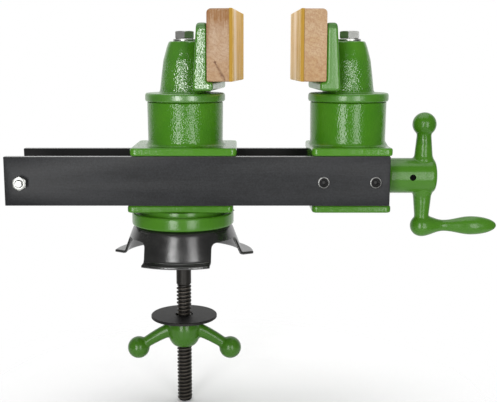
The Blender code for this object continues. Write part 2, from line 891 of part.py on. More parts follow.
def build_jaw(side_name, turret_axis):
    """Wooden block on the ledge, and the facing in front of it."""
    half = jaw_width / 2
    shape = block((jaw_back, -half, jaw_floor), (jaw_front, half, jaw_floor + jaw_height))

    def crown(centre, direction):
        return centre.z > jaw_floor + jaw_height / 2 and centre.x < jaw_front - weld_distance

    def rest(centre, direction):
        return centre.z < jaw_floor + jaw_height / 2 and centre.x < jaw_front - weld_distance

    eased(shape, jaw_round_radius, 3, crown)
    eased(shape, jaw_edge_radius, 1, rest)
    jaw = piece(f"{side_name}_jaw_block", shape, beech, turret_axis)
    holes = []
    for y, z in jaw_screw_places():
        hole = rod(jaw_screw_radius + seat_gap, 0, jaw_back + jaw_screw_depth + seat_gap, small_sides)
        holes.append(placed(hole, (0, y, z), (1, 0, 0)))
    cut(jaw, gathered(holes))
    face = block(
        (facing_back, -half, jaw_floor), (facing_back + facing_depth, half, jaw_floor + jaw_height)
    )

    def front(centre, direction):
        return centre.x > facing_back + weld_distance

    eased(face, jaw_edge_radius, 2, front)
    piece(f"{side_name}_jaw_facing", face, facing_wood, turret_axis)


def build_turret_bolt(side_name, carrier, x):
    """Hexagon bolt down the turret's axis into the tower, with its washer."""
    floor = collar_floor + boss_top + seat_gap
    washer = tube(
        turret_bolt_radius + seat_gap, turret_washer_radius, floor, floor + turret_washer_thickness, middle_sides
    )
    piece(f"{side_name}_turret_washer", washer, bright_steel, carrier, (x, 0, 0))
    under = floor + turret_washer_thickness + seat_gap
    shank = rod(
        turret_bolt_radius, under - turret_bolt_length, under + turret_bolt_head_height / 2, middle_sides
    )
    bolt = piece(f"{side_name}_turret_bolt", shank, bright_steel, carrier, (x, 0, 0))
    corner = hexagon_radius(turret_bolt_flats)
    top = under + turret_bolt_head_height
    head = turned(
        [
            (0, under),
            (corner, under),
            (corner, top - turret_bolt_chamfer),
            (corner - turret_bolt_chamfer * 2, top),
            (0, top),
        ],
        hex_sides,
    )
    joined(bolt, head)


# Lead screw, nut and bearing
def build_lead_nut():
    """Flanged nut in the fixed head, with its screws."""
    half = left_block_length / 2
    bore = screw_radius + thread_clearance
    flange = half + seat_gap
    profile = [
        (bore, half - nut_barrel_length),
        (nut_barrel_radius, half - nut_barrel_length),
        (nut_barrel_radius, flange),
        (nut_flange_radius, flange),
        (nut_flange_radius, flange + nut_flange_thickness),
        (bore, flange + nut_flange_thickness),
    ]
    shape = placed(turned(profile, middle_sides, ring=True), (0, 0, screw_height), (1, 0, 0))
    nut = piece("lead_nut", shape, brass, tower_axis)
    head_floor = flange + nut_flange_thickness + seat_gap
    holes = []
    for y, z in nut_screw_places():
        hole = rod(nut_screw_radius + seat_gap, half - cut_overrun, head_floor + cut_overrun, small_sides)
        holes.append(placed(hole, (0, y, z), (1, 0, 0)))
    cut(nut, gathered(holes))
    reach = head_floor - half + nut_screw_depth
    profile = [
        (0, -reach),
        (nut_screw_radius, -reach),
        (nut_screw_radius, 0),
        (nut_screw_head_radius, 0),
        (nut_screw_head_radius, nut_screw_head_height),
        (0, nut_screw_head_height),
    ]
    places = [(head_floor, y, z) for y, z in nut_screw_places()]
    repeated("nut_screw", turned(profile, small_sides), black_steel, tower_axis, places, (1, 0, 0))


def build_lead_screw():
    """Screw from the rails' free end through both heads into the crank's hub."""
    journal = right_block_face + seat_gap
    end = hub_left + hub_length - hub_radius / 2
    profile = [
        (0, screw_left),
        (screw_radius - screw_end_chamfer, screw_left),
        (screw_radius, screw_left + screw_end_chamfer),
        (screw_radius, journal),
        (screw_journal_radius, journal),
        (screw_journal_radius, end),
        (0, end),
    ]
    shape = placed(turned(profile, middle_sides), (0, 0, 0), (1, 0, 0))
    screw = piece("lead_screw", shape, spindle_steel, crank_axis)
    hole = rod(crank_pin_radius + pin_clearance, -hub_radius, hub_radius, small_sides)
    cut(screw, placed(hole, (hub_left + crank_pin_reach, 0, 0), (0, 1, 0)))


def build_bearing():
    """Flanged bush at the crank side, and the pinned collar that takes the opening pull."""
    face = right_block_face
    bore = screw_radius + seat_gap
    flange = face + seat_gap
    profile = [
        (bore, face - bush_length),
        (bush_radius, face - bush_length),
        (bush_radius, flange),
        (bush_flange_radius, flange),
        (bush_flange_radius, flange + bush_flange_thickness),
        (bore, flange + bush_flange_thickness),
    ]
    shape = placed(turned(profile, middle_sides, ring=True), (0, 0, screw_height), (1, 0, 0))
    piece("bearing_bush", shape, brass, carriage_axis)
    inner = head_spacing - right_block_length / 2 - seat_gap
    ring = tube(screw_radius + seat_gap, collar_ring_radius, inner - collar_ring_length, inner, middle_sides)
    collar = piece("thrust_collar", placed(ring, (0, 0, 0), (1, 0, 0)), bright_steel, crank_axis)
    middle = inner - collar_ring_length / 2
    hole = rod(grub_radius + seat_gap, 0, collar_ring_radius + cut_overrun, small_sides)
    cut(collar, placed(hole, (middle, 0, 0)))
    grub = rod(grub_radius, screw_radius + seat_gap, collar_ring_radius - seat_gap, small_sides)
    piece("collar_grub_screw", placed(grub, (middle, 0, 0)), black_steel, crank_axis)


# Crank casting
def hub_profile():
    """Barrel with a rounded nose, from its mouth at the bearing outwards."""
    points = [(0, 0), (hub_radius - hub_mouth_chamfer, 0), (hub_radius, hub_mouth_chamfer)]
    shoulder = hub_length - hub_dome_depth - hub_edge_radius / 2
    points += arc(hub_radius - hub_edge_radius, shoulder, hub_edge_radius, 0, 50, 3)
    points += [(0, hub_length)]
    return points


def arm_profile(ball):
    """Tapered arm from the hub's axis outwards, ending in a ball or inside the elbow."""
    points = [
        (0, 0),
        (arm_root_radius, 0),
        (arm_root_radius, hub_radius * arm_root_share),
        (arm_base_radius, hub_radius * arm_base_share),
        (arm_tip_radius, elbow_drop - elbow_radius),
    ]
    if not ball:
        return points + [(arm_tip_radius, elbow_drop), (0, elbow_drop)]
    meet = math.degrees(math.asin(arm_tip_radius / ball_radius))
    return points + arc(0, ball_drop, ball_radius, meet - 90, 90, ball_steps)


def handle_radius(reach):
    """Handle's radius at a distance out from the elbow's centre: knuckle, neck and grip."""
    if reach < handle_neck_reach:
        share = reach / handle_neck_reach
        ease = (1 - math.cos(math.pi * share)) / 2
        return elbow_radius + (handle_neck_radius - elbow_radius) * ease
    if reach < handle_grip_reach:
        share = (reach - handle_neck_reach) / (handle_grip_reach - handle_neck_reach)
        ease = (1 - math.cos(math.pi * share)) / 2
        return handle_neck_radius + (handle_grip_radius - handle_neck_radius) * ease
    share = (reach - handle_grip_reach) / (handle_reach - handle_grip_reach)
    return handle_grip_radius * math.sqrt(max(1 - share**2, 0))


def handle_profile():
    """Turned outline from the back of the elbow to the grip's tip."""
    points = arc(0, 0, elbow_radius, -90, 0, 6)
    for step in range(1, handle_steps + 1):
        share = step / handle_steps
        reach = handle_reach * math.sin(share * math.pi / 2)
        points.append((handle_radius(reach), reach))
    return points


def build_crank():
    """Hub, counterweight arm with its ball, and the arm that ends in the handle."""
    arm_place = hub_left + arm_reach
    hub = placed(turned(hub_profile(), middle_sides), (hub_left, 0, 0), (1, 0, 0))
    crank = piece("crank", hub, green_enamel, crank_axis)
    joined(crank, placed(turned(arm_profile(True), limb_sides), (arm_place, 0, 0), (0, 0, 1)))
    joined(crank, placed(turned(handle_profile(), limb_sides), (arm_place, 0, -elbow_drop), (1, 0, 0)))
    joined(crank, placed(turned(arm_profile(False), limb_sides), (arm_place, 0, 0), (0, 0, -1)))
    bore = rod(
        screw_journal_radius + seat_gap,
        hub_left - cut_overrun,
        hub_left + hub_length - hub_radius / 2 + seat_gap,
        middle_sides,
    )
    cut(crank, placed(bore, (0, 0, 0), (1, 0, 0)))
    hole = rod(crank_pin_radius + pin_clearance, -hub_radius - cut_overrun, hub_radius + cut_overrun, small_sides)
    cut(crank, placed(hole, (hub_left + crank_pin_reach, 0, 0), (0, 1, 0)))
    reach = hub_radius - crank_pin_sink
    pin = rod(crank_pin_radius, -reach, reach, small_sides)
    piece("crank_pin", placed(pin, (hub_left + crank_pin_reach, 0, 0), (0, 1, 0)), black_steel, crank_axis)


# Bench clamp
def build_spindle():
    """Threaded stud fixed in the swivel base and the head above it."""
    shape = rod(spindle_radius, -spindle_drop, spindle_top, middle_sides, spindle_end_chamfer)
    piece("clamp_spindle", shape, spindle_steel, vise_axis)


def build_clamp_washer():
    """Wide washer that bears on the underside of the bench."""
    bore = spindle_radius + clamp_washer_clearance
    shape = tube(bore, clamp_washer_radius, -clamp_washer_thickness, 0, big_sides)
    piece("clamp_washer", shape, spindle_steel, clamp_axis)


def wing_limb(side):
    """Arched arm from the hub out to its ball, through elliptical sections."""
    shape = bmesh.new()
    rings = []
    for step in range(wing_arm_steps + 1):
        share = step / wing_arm_steps
        reach = wing_arm_root_reach + (wing_ball_reach - wing_arm_root_reach) * share
        sink = wing_arm_root_drop + (wing_ball_drop - wing_arm_root_drop) * share
        crown = wing_arm_crown * math.sin(math.pi * share)
        height = wing_arm_root_height + (wing_arm_tip_height - wing_arm_root_height) * share
        ring = []
        for corner in range(limb_sides):
            angle = math.tau * corner / limb_sides
            y = wing_arm_width * math.cos(angle)
            z = crown - sink + height * math.sin(angle)
            ring.append(shape.verts.new((side * reach, y, z)))
        rings.append([shape.edges.new((a, b)) for a, b in zip(ring, ring[1:] + ring[:1])])
        if step in (0, wing_arm_steps):
            shape.faces.new(ring)
    for near, far in zip(rings, rings[1:]):
        bmesh.ops.bridge_loops(shape, edges=near + far)
    return closed(shape)


def wing_hub():
    """Barrel of the wing nut with a rounded lower end."""
    bore = spindle_radius + thread_clearance
    lower = wing_hub_height - wing_hub_radius * wing_hub_dome_share
    points = [(bore, 0), (wing_hub_top_radius, 0), (wing_hub_radius, -wing_hub_height / 3)]
    sphere = arc(0, -lower, wing_hub_radius, 0, -50, 5)
    points += sphere[1:]
    points += [(bore + thread_clearance, -wing_hub_height), (bore, -wing_hub_height)]
    return turned(points, middle_sides, ring=True)


def build_wing_nut():
    """Hub, two arched arms and a ball on each."""
    top = -clamp_washer_thickness - seat_gap
    nut = piece("wing_nut", wing_hub(), green_enamel, clamp_axis, (0, 0, top))
    for side in (-1, 1):
        joined(nut, wing_limb(side))
        ball = turned(arc(0, 0, wing_ball_radius, -90, 90, ball_steps + 1), limb_sides)
        joined(nut, placed(ball, (side * wing_ball_reach, 0, -wing_ball_drop)))
    bore = spindle_radius + thread_clearance
    cut(nut, rod(bore, -wing_hub_height - cut_overrun, cut_overrun, middle_sides))


build_stand()
build_swivel_base()
build_left_plate()
build_left_head()
build_lead_nut()
build_spindle()
build_rail("front_rail", -1)
build_rail("rear_rail", 1)
build_rail_screws()
build_tie()
build_right_head()
build_lower_plate(
    "right", right_lower_plate_length, 0, right_block_length, right_plate_screw_inset, carriage_axis, head_spacing
)
build_bearing()
build_lead_screw()
build_crank()
build_turret("left", left_turret_axis)
build_turret("right", right_turret_axis)
build_turret_bolt("left", tower_axis, 0)
build_turret_bolt("right", carriage_axis, head_spacing)
build_clamp_washer()
build_wing_nut()
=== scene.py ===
"""Finished look of the multi-purpose vise: softened castings, cut threads, enamel, steel and wood.

Metres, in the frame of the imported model: +X runs along the rails to the crank, -Y faces the user, +Z is up.
"""

import math

import bmesh
import bpy
from mathutils import Matrix, Vector


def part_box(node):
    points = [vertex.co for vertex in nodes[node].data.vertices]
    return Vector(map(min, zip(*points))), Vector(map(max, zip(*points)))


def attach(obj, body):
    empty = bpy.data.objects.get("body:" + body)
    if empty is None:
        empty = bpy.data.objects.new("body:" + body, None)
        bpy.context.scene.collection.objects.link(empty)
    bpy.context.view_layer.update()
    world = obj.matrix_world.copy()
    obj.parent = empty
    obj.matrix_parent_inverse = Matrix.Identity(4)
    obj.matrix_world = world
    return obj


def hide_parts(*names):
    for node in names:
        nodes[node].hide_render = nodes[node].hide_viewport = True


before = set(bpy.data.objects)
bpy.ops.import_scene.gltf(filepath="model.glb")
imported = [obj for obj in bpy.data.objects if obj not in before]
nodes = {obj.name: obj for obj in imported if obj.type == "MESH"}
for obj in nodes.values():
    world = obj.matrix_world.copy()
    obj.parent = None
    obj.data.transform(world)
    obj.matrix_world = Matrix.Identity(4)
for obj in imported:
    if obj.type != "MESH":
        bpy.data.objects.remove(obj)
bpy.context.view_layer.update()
scene = bpy.context.scene


def middle(node):
    """Middle of a node's box."""
    low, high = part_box(node)
    return (low + high) / 2


# Lines that the turned pieces stand on
left_tower = middle("left_turret_washer")
right_tower = middle("right_turret_washer")
screw_line = middle("lead_screw")
spindle_line = middle("clamp_spindle")
tie_line = middle("tie_spacer")

# Heads and rails
tower_height = 0.0445
plate_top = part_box("left_head")[1].z - tower_height
rail_low, rail_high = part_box("front_rail")
rail_middle = (rail_low.z + rail_high.z) / 2
rail_half = (rail_high.z - rail_low.z) / 2
rail_face = abs(rail_low.y)

# Turrets, whose heights are counted from the collar's floor
collar_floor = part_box("left_turret")[0].z
collar_height = 0.0091
shoulder_height = 0.0440
boss_reach = 0.0265
bracket_foot = 0.0150
cap_height = 0.0056
bracket_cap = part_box("left_turret")[1].z - collar_floor - cap_height
left_turn = math.radians(-6.2)
right_turn = math.pi + math.radians(1.9)
turned_sides = 34

# Spindle and lead screw, cut with the same thread
rod_radius = 0.0080
rod_core = 0.0064
rod_pitch = 0.0040
thread_top = -0.034
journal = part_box("right_head")[1].x - 0.002
journal_radius = 0.0070
thread_end = journal - 0.030


# Shader wiring
class Wire:
    """A shader socket that can stand in a sum, with one method for any other node."""

    def __init__(self, tree, socket=None):
        self.tree = tree
        self.socket = socket

    def node(self, kind, settings=None, values=None, output=0):
        """One output of a new node with these settings and inputs."""
        made = self.tree.nodes.new(kind)
        for name, value in (settings or {}).items():
            setattr(made, name, value)
        for name, value in (values or {}).items():
            if isinstance(value, Wire):
                self.tree.links.new(value.socket, made.inputs[name])
            else:
                made.inputs[name].default_value = value
        return Wire(self.tree, made.outputs[output])

    def __add__(self, other):
        return maths("ADD", self, other)

    def __radd__(self, other):
        return maths("ADD", other, self)

    def __sub__(self, other):
        return maths("SUBTRACT", self, other)

    def __rsub__(self, other):
        return maths("SUBTRACT", other, self)

    def __mul__(self, other):
        return maths("MULTIPLY", self, other)

    def __rmul__(self, other):
        return maths("MULTIPLY", other, self)


def maths(operation, *values):
    """One step of arithmetic on signals and numbers."""
    wired = next(value for value in values if isinstance(value, Wire))
    return wired.node("ShaderNodeMath", {"operation": operation}, dict(enumerate(values)))


def size_of(signal):
    """Signal without its sign."""
    return maths("ABSOLUTE", signal)


def at_most(limit, signal):
    """Signal held below a limit."""
    return maths("MINIMUM", signal, limit)


def placed_at(place, centre, turn=0):
    """Coordinates counted from a piece's own centre and turn about Z."""
    back = Matrix.Rotation(-turn, 3, "Z")
    values = {"Vector": place, "Location": -(back @ Vector(centre)), "Rotation": (0, 0, -turn)}
    return place.node("ShaderNodeMapping", None, values)


def stretched(place, shares):
    """Coordinates scaled along each axis, so a pattern on them runs longer where the share is small."""
    return place.node("ShaderNodeMapping", None, {"Vector": place, "Scale": shares})


def parts_of(place):
    """X, Y and Z of a vector."""
    return [place.node("ShaderNodeSeparateXYZ", None, {"Vector": place}, axis) for axis in range(3)]


def mottle(place, size, detail=2, roughness=0.5):
    """Soft noise from 0 to 1 with patches of one size."""
    values = {"Vector": place, "Scale": 1 / size, "Detail": detail, "Roughness": roughness}
    return place.node("ShaderNodeTexNoise", None, values)


def spread(signal, low, high, start=0, end=1):
    """Signal stretched from one range to another, and held there."""
    values = {"Value": signal, "From Min": low, "From Max": high, "To Min": start, "To Max": end}
    return signal.node("ShaderNodeMapRange", None, values)


def colour(value):
    """Colour socket's value for a signal or for red, green and blue."""
    return value if isinstance(value, Wire) else (*value, 1)


def shade(value):
    """Grey of one value."""
    return (value, value, value)


def tinted(share, low, high):
    """Colour between two by a share."""
    sockets = {0: share, 6: colour(low), 7: colour(high)}
    return share.node("ShaderNodeMix", {"data_type": "RGBA"}, sockets, 2)


def between(share, low, high):
    """Number between two by a share."""
    return low + share * (high - low)


def relief(height):
    """Normal bent by a height in metres."""
    return height.node("ShaderNodeBump", None, {"Height": height, "Distance": 1.0, "Strength": 1.0})


def surface(name, look):
    """Material whose shader takes what the look gives for the object's coordinates."""
    made = bpy.data.materials.new(name)
    made.use_nodes = True
    tree = made.node_tree
    shader = tree.nodes["Principled BSDF"]
    place = Wire(tree).node("ShaderNodeTexCoord", None, None, "Object")
    for socket, value in look(place).items():
        if isinstance(value, Wire):
            tree.links.new(value.socket, shader.inputs[socket])
        else:
            shader.inputs[socket].default_value = value
    return made


# Finishes
wave_height = 0.00026


def enamel_look(pebble_size, pebble_height, gloss, dulled=0, depth=1, tower=None, bracket_share=1, bracket_painted_light_green=None):
    """Thick gloss enamel on sand-cast iron: a pebbled skin over gentle waves, calmer and paler from the plates down.

    On a turret the skin is smoother on the collar, on the boss's shoulder and on the bracket's foot and cap, and as
    the share says on the rest of its bracket. A bracket green, where given, is painted light: a paler green standing
    in for the stronger light on the bracket's face. The bracket's cap takes painted shade: a darker green standing in
    for the shade along its rounded top.
    """

    def green(*value):
        return tuple(part * depth for part in value)

    def look(place):
        pebbles = mottle(place, pebble_size, 0)
        waves = mottle(place, 0.011, 2, 0.45)
        pools = mottle(place, 0.028, 3, 0.6)
        smooth = spread(waves, 0.3, 0.7, 0.15 + dulled, 0.20 + dulled)
        level = parts_of(place)[2]
        edge_low, edge_high = plate_top - 0.0008, plate_top + 0.0004
        pebbles = pebbles * spread(level, edge_low, edge_high, 0.26, 1)
        base = tinted(spread(pools, 0.3, 0.7), green(0.045, 0.178, 0.007), green(0.061, 0.208, 0.010))
        base = tinted(spread(level, edge_low, edge_high, 0.5, 0), base, green(0.080, 0.250, 0.018))
        if tower:
            across, along, up = parts_of(placed_at(place, (tower.x, tower.y, collar_floor)))
            beyond = spread(across * across + along * along, boss_reach**2, (boss_reach + 0.0008) ** 2)
            above = spread(up, collar_height - 0.0005, collar_height + 0.0010)
            shoulder = spread(up, shoulder_height - 0.002, shoulder_height + 0.002) * (1 - beyond) * 0.85
            bracket = beyond * above
            calm = bracket * (1 - bracket_share)
            foot = bracket * spread(up, bracket_foot, bracket_foot + 0.006, 0.5, 0)
            painted_shade_cap = beyond * spread(up, bracket_cap - 0.0008, bracket_cap + 0.0008)
            pebbles = pebbles * (above * 0.9 + 0.1) * (1 - shoulder) * (1 - calm) * (1 - foot) * (1 - painted_shade_cap)
            waves = 0.5 + (waves - 0.5) * (1 - calm * 0.85)
            smooth = smooth + calm * 0.22 + (1 - above) * 0.16 + painted_shade_cap * 0.30
            # Painted light: the bracket's paler green stands in for the stronger light on its face.
            if bracket_painted_light_green:
                base = tinted(bracket, base, bracket_painted_light_green)
            # Painted shade: the bracket's cap is tinted a darker green, standing in for the shade along its rounded
            # top.
            base = tinted(painted_shade_cap * 0.6, base, (0.016, 0.110, 0.002))
        return {
            "Base Color": base,
            "Roughness": smooth,
            "IOR": gloss,
            "Specular IOR Level": 0.8,
            "Normal": relief(pebbles * pebble_height + waves * wave_height),
        }

    return look


def rail_look(place):
    """Charcoal paint on flat bar: cloudy outside, with painted shade between the rails and in the holes, and a painted
    highlight of pale grey along the top and bottom edges, which are also smoother.
    """
    across, along, up = parts_of(place)
    outside = spread(size_of(along), rail_face - 0.0012, rail_face - 0.0008)
    painted_edge_highlight = spread(size_of(up - rail_middle), rail_half - 0.0003, rail_half - 0.0001)
    drawn = mottle(stretched(place, (0.06, 1, 1)), 0.0012, 3, 0.6)
    cloud = mottle(stretched(place, (0.5, 1, 1)), 0.030, 4, 0.6)
    grain = mottle(place, 0.0013, 2, 0.6)
    tone = spread(drawn * 0.20 + cloud * 0.35 + grain * 0.45, 0.39, 0.62)
    charcoal = tinted(tone, (0.0060, 0.0064, 0.0072), (0.0190, 0.0201, 0.0226))
    # Painted shade: near black on the faces between the rails and deep in the holes, where shade falls.
    paint = tinted(outside, (0.0020, 0.0020, 0.0021), charcoal)
    satin = between(outside, 0.62, spread(cloud, 0.3, 0.7, 0.38, 0.44))
    return {
        # Painted highlight: pale grey along the top and bottom edges, standing in for the white they reflect; these
        # edges are also smoother.
        "Base Color": tinted(painted_edge_highlight * 0.6, paint, shade(0.30)),
        "Roughness": between(painted_edge_highlight, satin, 0.22),
        "Specular IOR Level": 0.26,
        "Normal": relief(grain * 0.000040 + drawn * 0.000016),
    }


def stand_look(place):
    """Gloss black paint on pressed sheet."""
    cloud = mottle(place, 0.018, 4, 0.6)
    grain = mottle(place, 0.0011, 2, 0.5)
    return {
        "Base Color": tinted(spread(cloud, 0.35, 0.65), (0.008, 0.008, 0.0075), (0.015, 0.015, 0.014)),
        "Roughness": spread(cloud, 0.3, 0.7, 0.16, 0.27),
        "IOR": 1.60,
        "Specular IOR Level": 1.0,
        "Normal": relief(grain * 0.000018 + cloud * 0.00012),
    }


def washer_look(place):
    """Oiled brown-black steel, blotched."""
    cloud = mottle(place, 0.006, 4, 0.65)
    grain = mottle(place, 0.0008, 3, 0.6)
    light = (0.0150, 0.0138, 0.0118)
    dark = tuple(share * 0.35 for share in light)
    return {
        "Base Color": tinted(spread(cloud * 0.6 + grain * 0.4, 0.35, 0.65), dark, light),
        "Roughness": spread(grain, 0.3, 0.7, 0.46, 0.62),
        "Metallic": 0.35,
        "Normal": relief(grain * 0.00003),
    }


def threaded_look(centre, upright, cut_end):
    """Oiled thread: black in its roots, paler in patches along its crests as far as the thread is cut; the pale crests
    are worn bare steel and a painted highlight as well.
    """

    def look(place):
        x, y, z = parts_of(placed_at(place, centre))
        first, second, length = (x, y, z) if upright else (y, z, x)
        cloud = mottle(place, 0.005, 3, 0.6)
        grain = mottle(place, 0.0008, 3, 0.6)
        glint_patch = spread(cloud * 0.6 + grain * 0.4, 0.30, 0.58, 0.20, 1)
        # Painted highlight as well as wear: the crests are tinted paler in patches.
        crest = spread(first * first + second * second, (rod_radius - 0.0003) ** 2, (rod_radius - 0.00005) ** 2)
        share = crest * glint_patch * spread(length, cut_end - 0.0002, cut_end, 1, 0)
        return {
            "Base Color": tinted(share, (0.0160, 0.0142, 0.0118), (0.088, 0.076, 0.062)),
            "Roughness": spread(grain, 0.3, 0.7, 0.34, 0.52),
            "Metallic": 0.5,
            "Normal": relief(grain * 0.00003),
        }

    return look


def zinc_look(share):
    """Zinc plate with fine scuffs, as bright as the share says."""

    def look(place):
        grain = mottle(place, 0.0007, 3, 0.6)
        cloud = mottle(place, 0.005, 3, 0.6)
        dark, light = (0.50 * share, 0.51 * share, 0.48 * share), (0.72 * share, 0.72 * share, 0.69 * share)
        return {
            "Base Color": tinted(cloud, dark, light),
            "Roughness": spread(grain, 0.3, 0.7, 0.30, 0.44),
            "Metallic": 1.0,
            "Normal": relief(grain * 0.000012),
        }

    return look


def oxide_look(place):
    """Black oxide with grey patches where it is worn."""
    grain = mottle(place, 0.0010, 3, 0.6)
    return {
        "Base Color": tinted(spread(grain, 0.4, 0.7), shade(0.012), shade(0.060)),
        "Roughness": spread(grain, 0.3, 0.7, 0.30, 0.45),
        "Metallic": 0.6,
        "Normal": relief(grain * 0.00002),
    }


def head_look(place):
    """Black socket head with painted highlights: a pale metallic ring round its rim and a grey patch at the bottom of
    its key hole stand in for reflections; the rest of the head and the key hole's walls are black.
    """
    depth = rail_face - size_of(parts_of(place)[1])
    grain = mottle(place, 0.0010, 3, 0.6)
    # Painted highlight: pale metal round the rim, grey at the bottom of the key hole.
    rim = spread(depth, 0.00042, 0.00050) * spread(depth, 0.00120, 0.00130, 1, 0) * spread(grain, 0.35, 0.6, 0.35, 1)
    glint_patch = tinted(spread(depth, 0.0031, 0.0034), shade(0.0035), shade(0.045))
    return {
        "Base Color": tinted(rim, glint_patch, (0.30, 0.30, 0.29)),
        "Roughness": 0.42,
        "Metallic": rim,
        "Specular IOR Level": 0.15,
    }


def pin_shade_look(place):
    """Dead black on the end of the crank pin: painted shade, standing in for the dark of the hole it sits in."""
    black = tinted(mottle(place, 0.002), shade(0.002), shade(0.004))
    return {"Base Color": black, "Roughness": 0.8, "Specular IOR Level": 0.05}


def brass_look(place):
    """Machined brass, a little dulled."""
    rings = mottle(stretched(place, (1, 0.2, 0.2)), 0.0008, 2, 0.5)
    cloud = mottle(place, 0.006, 3, 0.6)
    return {
        "Base Color": tinted(cloud, (0.45, 0.28, 0.09), (0.66, 0.45, 0.17)),
        "Roughness": spread(rings, 0.3, 0.7, 0.26, 0.40),
        "Metallic": 1.0,
        "Normal": relief(rings * 0.00001),
    }


def crack_share(own, start, end):
    """Share of a ragged crack and the knot at its start; both points count across and up from the block's middle."""
    across, along, up = parts_of(own)
    (left, top), (right, foot) = start, end
    slope = (foot - top) / (right - left)
    ragged = mottle(own, 0.0022, 3, 0.7)
    off = (up - top - (across - left) * slope + (ragged - 0.5) * 0.0050) * (1 / math.hypot(1, slope))
    gape = spread(up, foot, top, 1.6, 0.7)
    split = spread(size_of(off), gape * 0.0003, gape * 0.0015, 1, 0) * spread(ragged, 0.35, 0.60, 0.45, 1)
    split = split * spread(across, left - 0.0006, left) * spread(across, right, right + 0.0006, 1, 0)
    knot_across, knot_up = across - left, up - top
    knot = spread(knot_across * knot_across * 0.4 + knot_up * knot_up, 0.0000002, 0.0000014, 1, 0)
    return at_most(1, split + knot) * 0.80


def beech_look(centre, turn, core, pale, warm, band, rings, speckles, crown_share, bark_share=0, crack=None):
    """Sanded beech: year rings round a far core, seen as arcs on the ends and as lines along the block."""

    def look(place):
        own = placed_at(place, centre, turn)
        across, along, up = parts_of(own)
        wander = mottle(stretched(own, (1, 0.25, 1)), 0.020, 3, 0.55)
        soft = mottle(stretched(own, (1, 0.2, 1)), 0.012, 4, 0.6)
        flecks = mottle(stretched(own, (1, 0.10, 1)), 0.00075, 2, 0.7)
        drips = mottle(stretched(own, (1, 1, 0.12)), 0.0017, 2, 0.7)
        speckle = mottle(own, 0.0017, 3, 0.75)
        from_core, over_core = across - core[0], up - core[1]
        reach = maths("SQRT", from_core * from_core + over_core * over_core)
        late = spread(maths("FRACT", reach * 210 + wander * 4.5), 0.62, 0.98)
        low = spread(up, -0.030, 0.004, 1, 0)
        base = tinted(at_most(1, spread(soft, 0.35, 0.65) * 0.6 + low * 0.5), pale, warm)
        ringed = tinted(late * rings, base, band)
        pores = spread(flecks, 0.56, 0.70)
        blotch = spread(speckle, 0.44, 0.60) * speckles
        flecked = tinted(at_most(1, pores * 0.45 + blotch), ringed, band)
        crown = spread(up + (drips - 0.5) * 0.022, 0.010, 0.027) * (spread(drips, 0.36, 0.62) * 0.5 + 0.5)
        edge = spread(across + (soft - 0.5) * 0.006, -0.0104, -0.0072, 1, 0)
        bark = edge * spread(up + (drips - 0.5) * 0.010, -0.012, 0.002) * bark_share
        wood = tinted(bark, tinted(crown * crown_share, flecked, (0.275, 0.120, 0.030)), band)
        looks = {"Base Color": wood, "Roughness": spread(flecks, 0.3, 0.7, 0.50, 0.62), "Specular IOR Level": 0.3}
        if crack:
            looks["Base Color"] = tinted(crack_share(own, *crack), wood, (0.11, 0.040, 0.014))
            looks["Normal"] = relief(pores * -0.00005 + late * 0.00002)
        return looks

    return look


def facing_look(centre, turn, bright, vein_place, gold_share):
    """Varnished pale facing with upright streaks, and a golden band down its edges."""

    def look(place):
        own = placed_at(place, centre, turn)
        along = parts_of(own)[1]
        wander = mottle(stretched(own, (1, 1, 0.12)), 0.012, 3, 0.6)
        streaks = mottle(stretched(own, (1, 1, 0.03)), 0.0026, 3, 0.65)
        fine = mottle(stretched(own, (1, 1, 0.05)), 0.0007, 2, 0.6)
        pale = tinted(spread(streaks * 0.7 + fine * 0.3, 0.42, 0.58), (0.52, 0.29, 0.04), bright)
        course = along + wander * 0.016 - vein_place - 0.008
        vein = spread(size_of(course), 0.0060, 0.0150, 1, 0) * spread(streaks, 0.40, 0.50, 0.35, 1)
        mellow = tinted(spread(along + wander * 0.020, 0.018, 0.040) * gold_share, pale, (0.62, 0.37, 0.045))
        faced = tinted(vein, mellow, (0.98, 0.80, 0.60))
        side = spread(size_of(along), 0.0514, 0.0517)
        golden = tinted(fine, (0.37, 0.205, 0.028), (0.50, 0.300, 0.054))
        return {
            "Base Color": tinted(side, faced, golden),
            "Roughness": spread(streaks, 0.3, 0.7, 0.45, 0.60),
            "Specular IOR Level": 0.05,
            "Normal": relief(fine * 0.00003 + streaks * 0.00005),
        }

    return look


# Materials
enamel = surface("green_enamel", enamel_look(0.0015, 0.00034, 1.38))
carriage_enamel = surface("carriage_green_enamel", enamel_look(0.0015, 0.00022, 1.35))
plate_enamel = surface("plate_green_enamel", enamel_look(0.0017, 0.00036, 1.36, dulled=0.03, depth=0.80))
crank_enamel = surface("crank_green_enamel", enamel_look(0.0020, 0.00022, 1.34, dulled=0.07, depth=0.81))
# Painted shade: the wing nut's green is darkened to 0.68, standing in for the shade it sits in under the washer.
wing_enamel = surface("wing_green_enamel", enamel_look(0.0020, 0.00022, 1.34, dulled=0.08, depth=0.68))
left_coarse = surface(
    "left_coarse_enamel", enamel_look(0.0015, 0.00064, 1.74, dulled=-0.05, tower=left_tower, bracket_share=0.68)
)
# Painted light on the right bracket: its paler green stands in for the light its face catches.
right_coarse = surface(
    "right_coarse_enamel",
    enamel_look(
        0.0015,
        0.00056,
        1.52,
        dulled=-0.04,
        tower=right_tower,
        bracket_share=0.12,
        bracket_painted_light_green=(0.060, 0.214, 0.010),
    ),
)
rail_paint = surface("rail_paint", rail_look)
stand_paint = surface("stand_paint", stand_look)
washer_steel = surface("oiled_washer", washer_look)
spindle_steel = surface("oiled_spindle", threaded_look((spindle_line.x, spindle_line.y, 0), True, thread_top))
screw_steel = surface("oiled_lead_screw", threaded_look((0, screw_line.y, screw_line.z), False, thread_end))
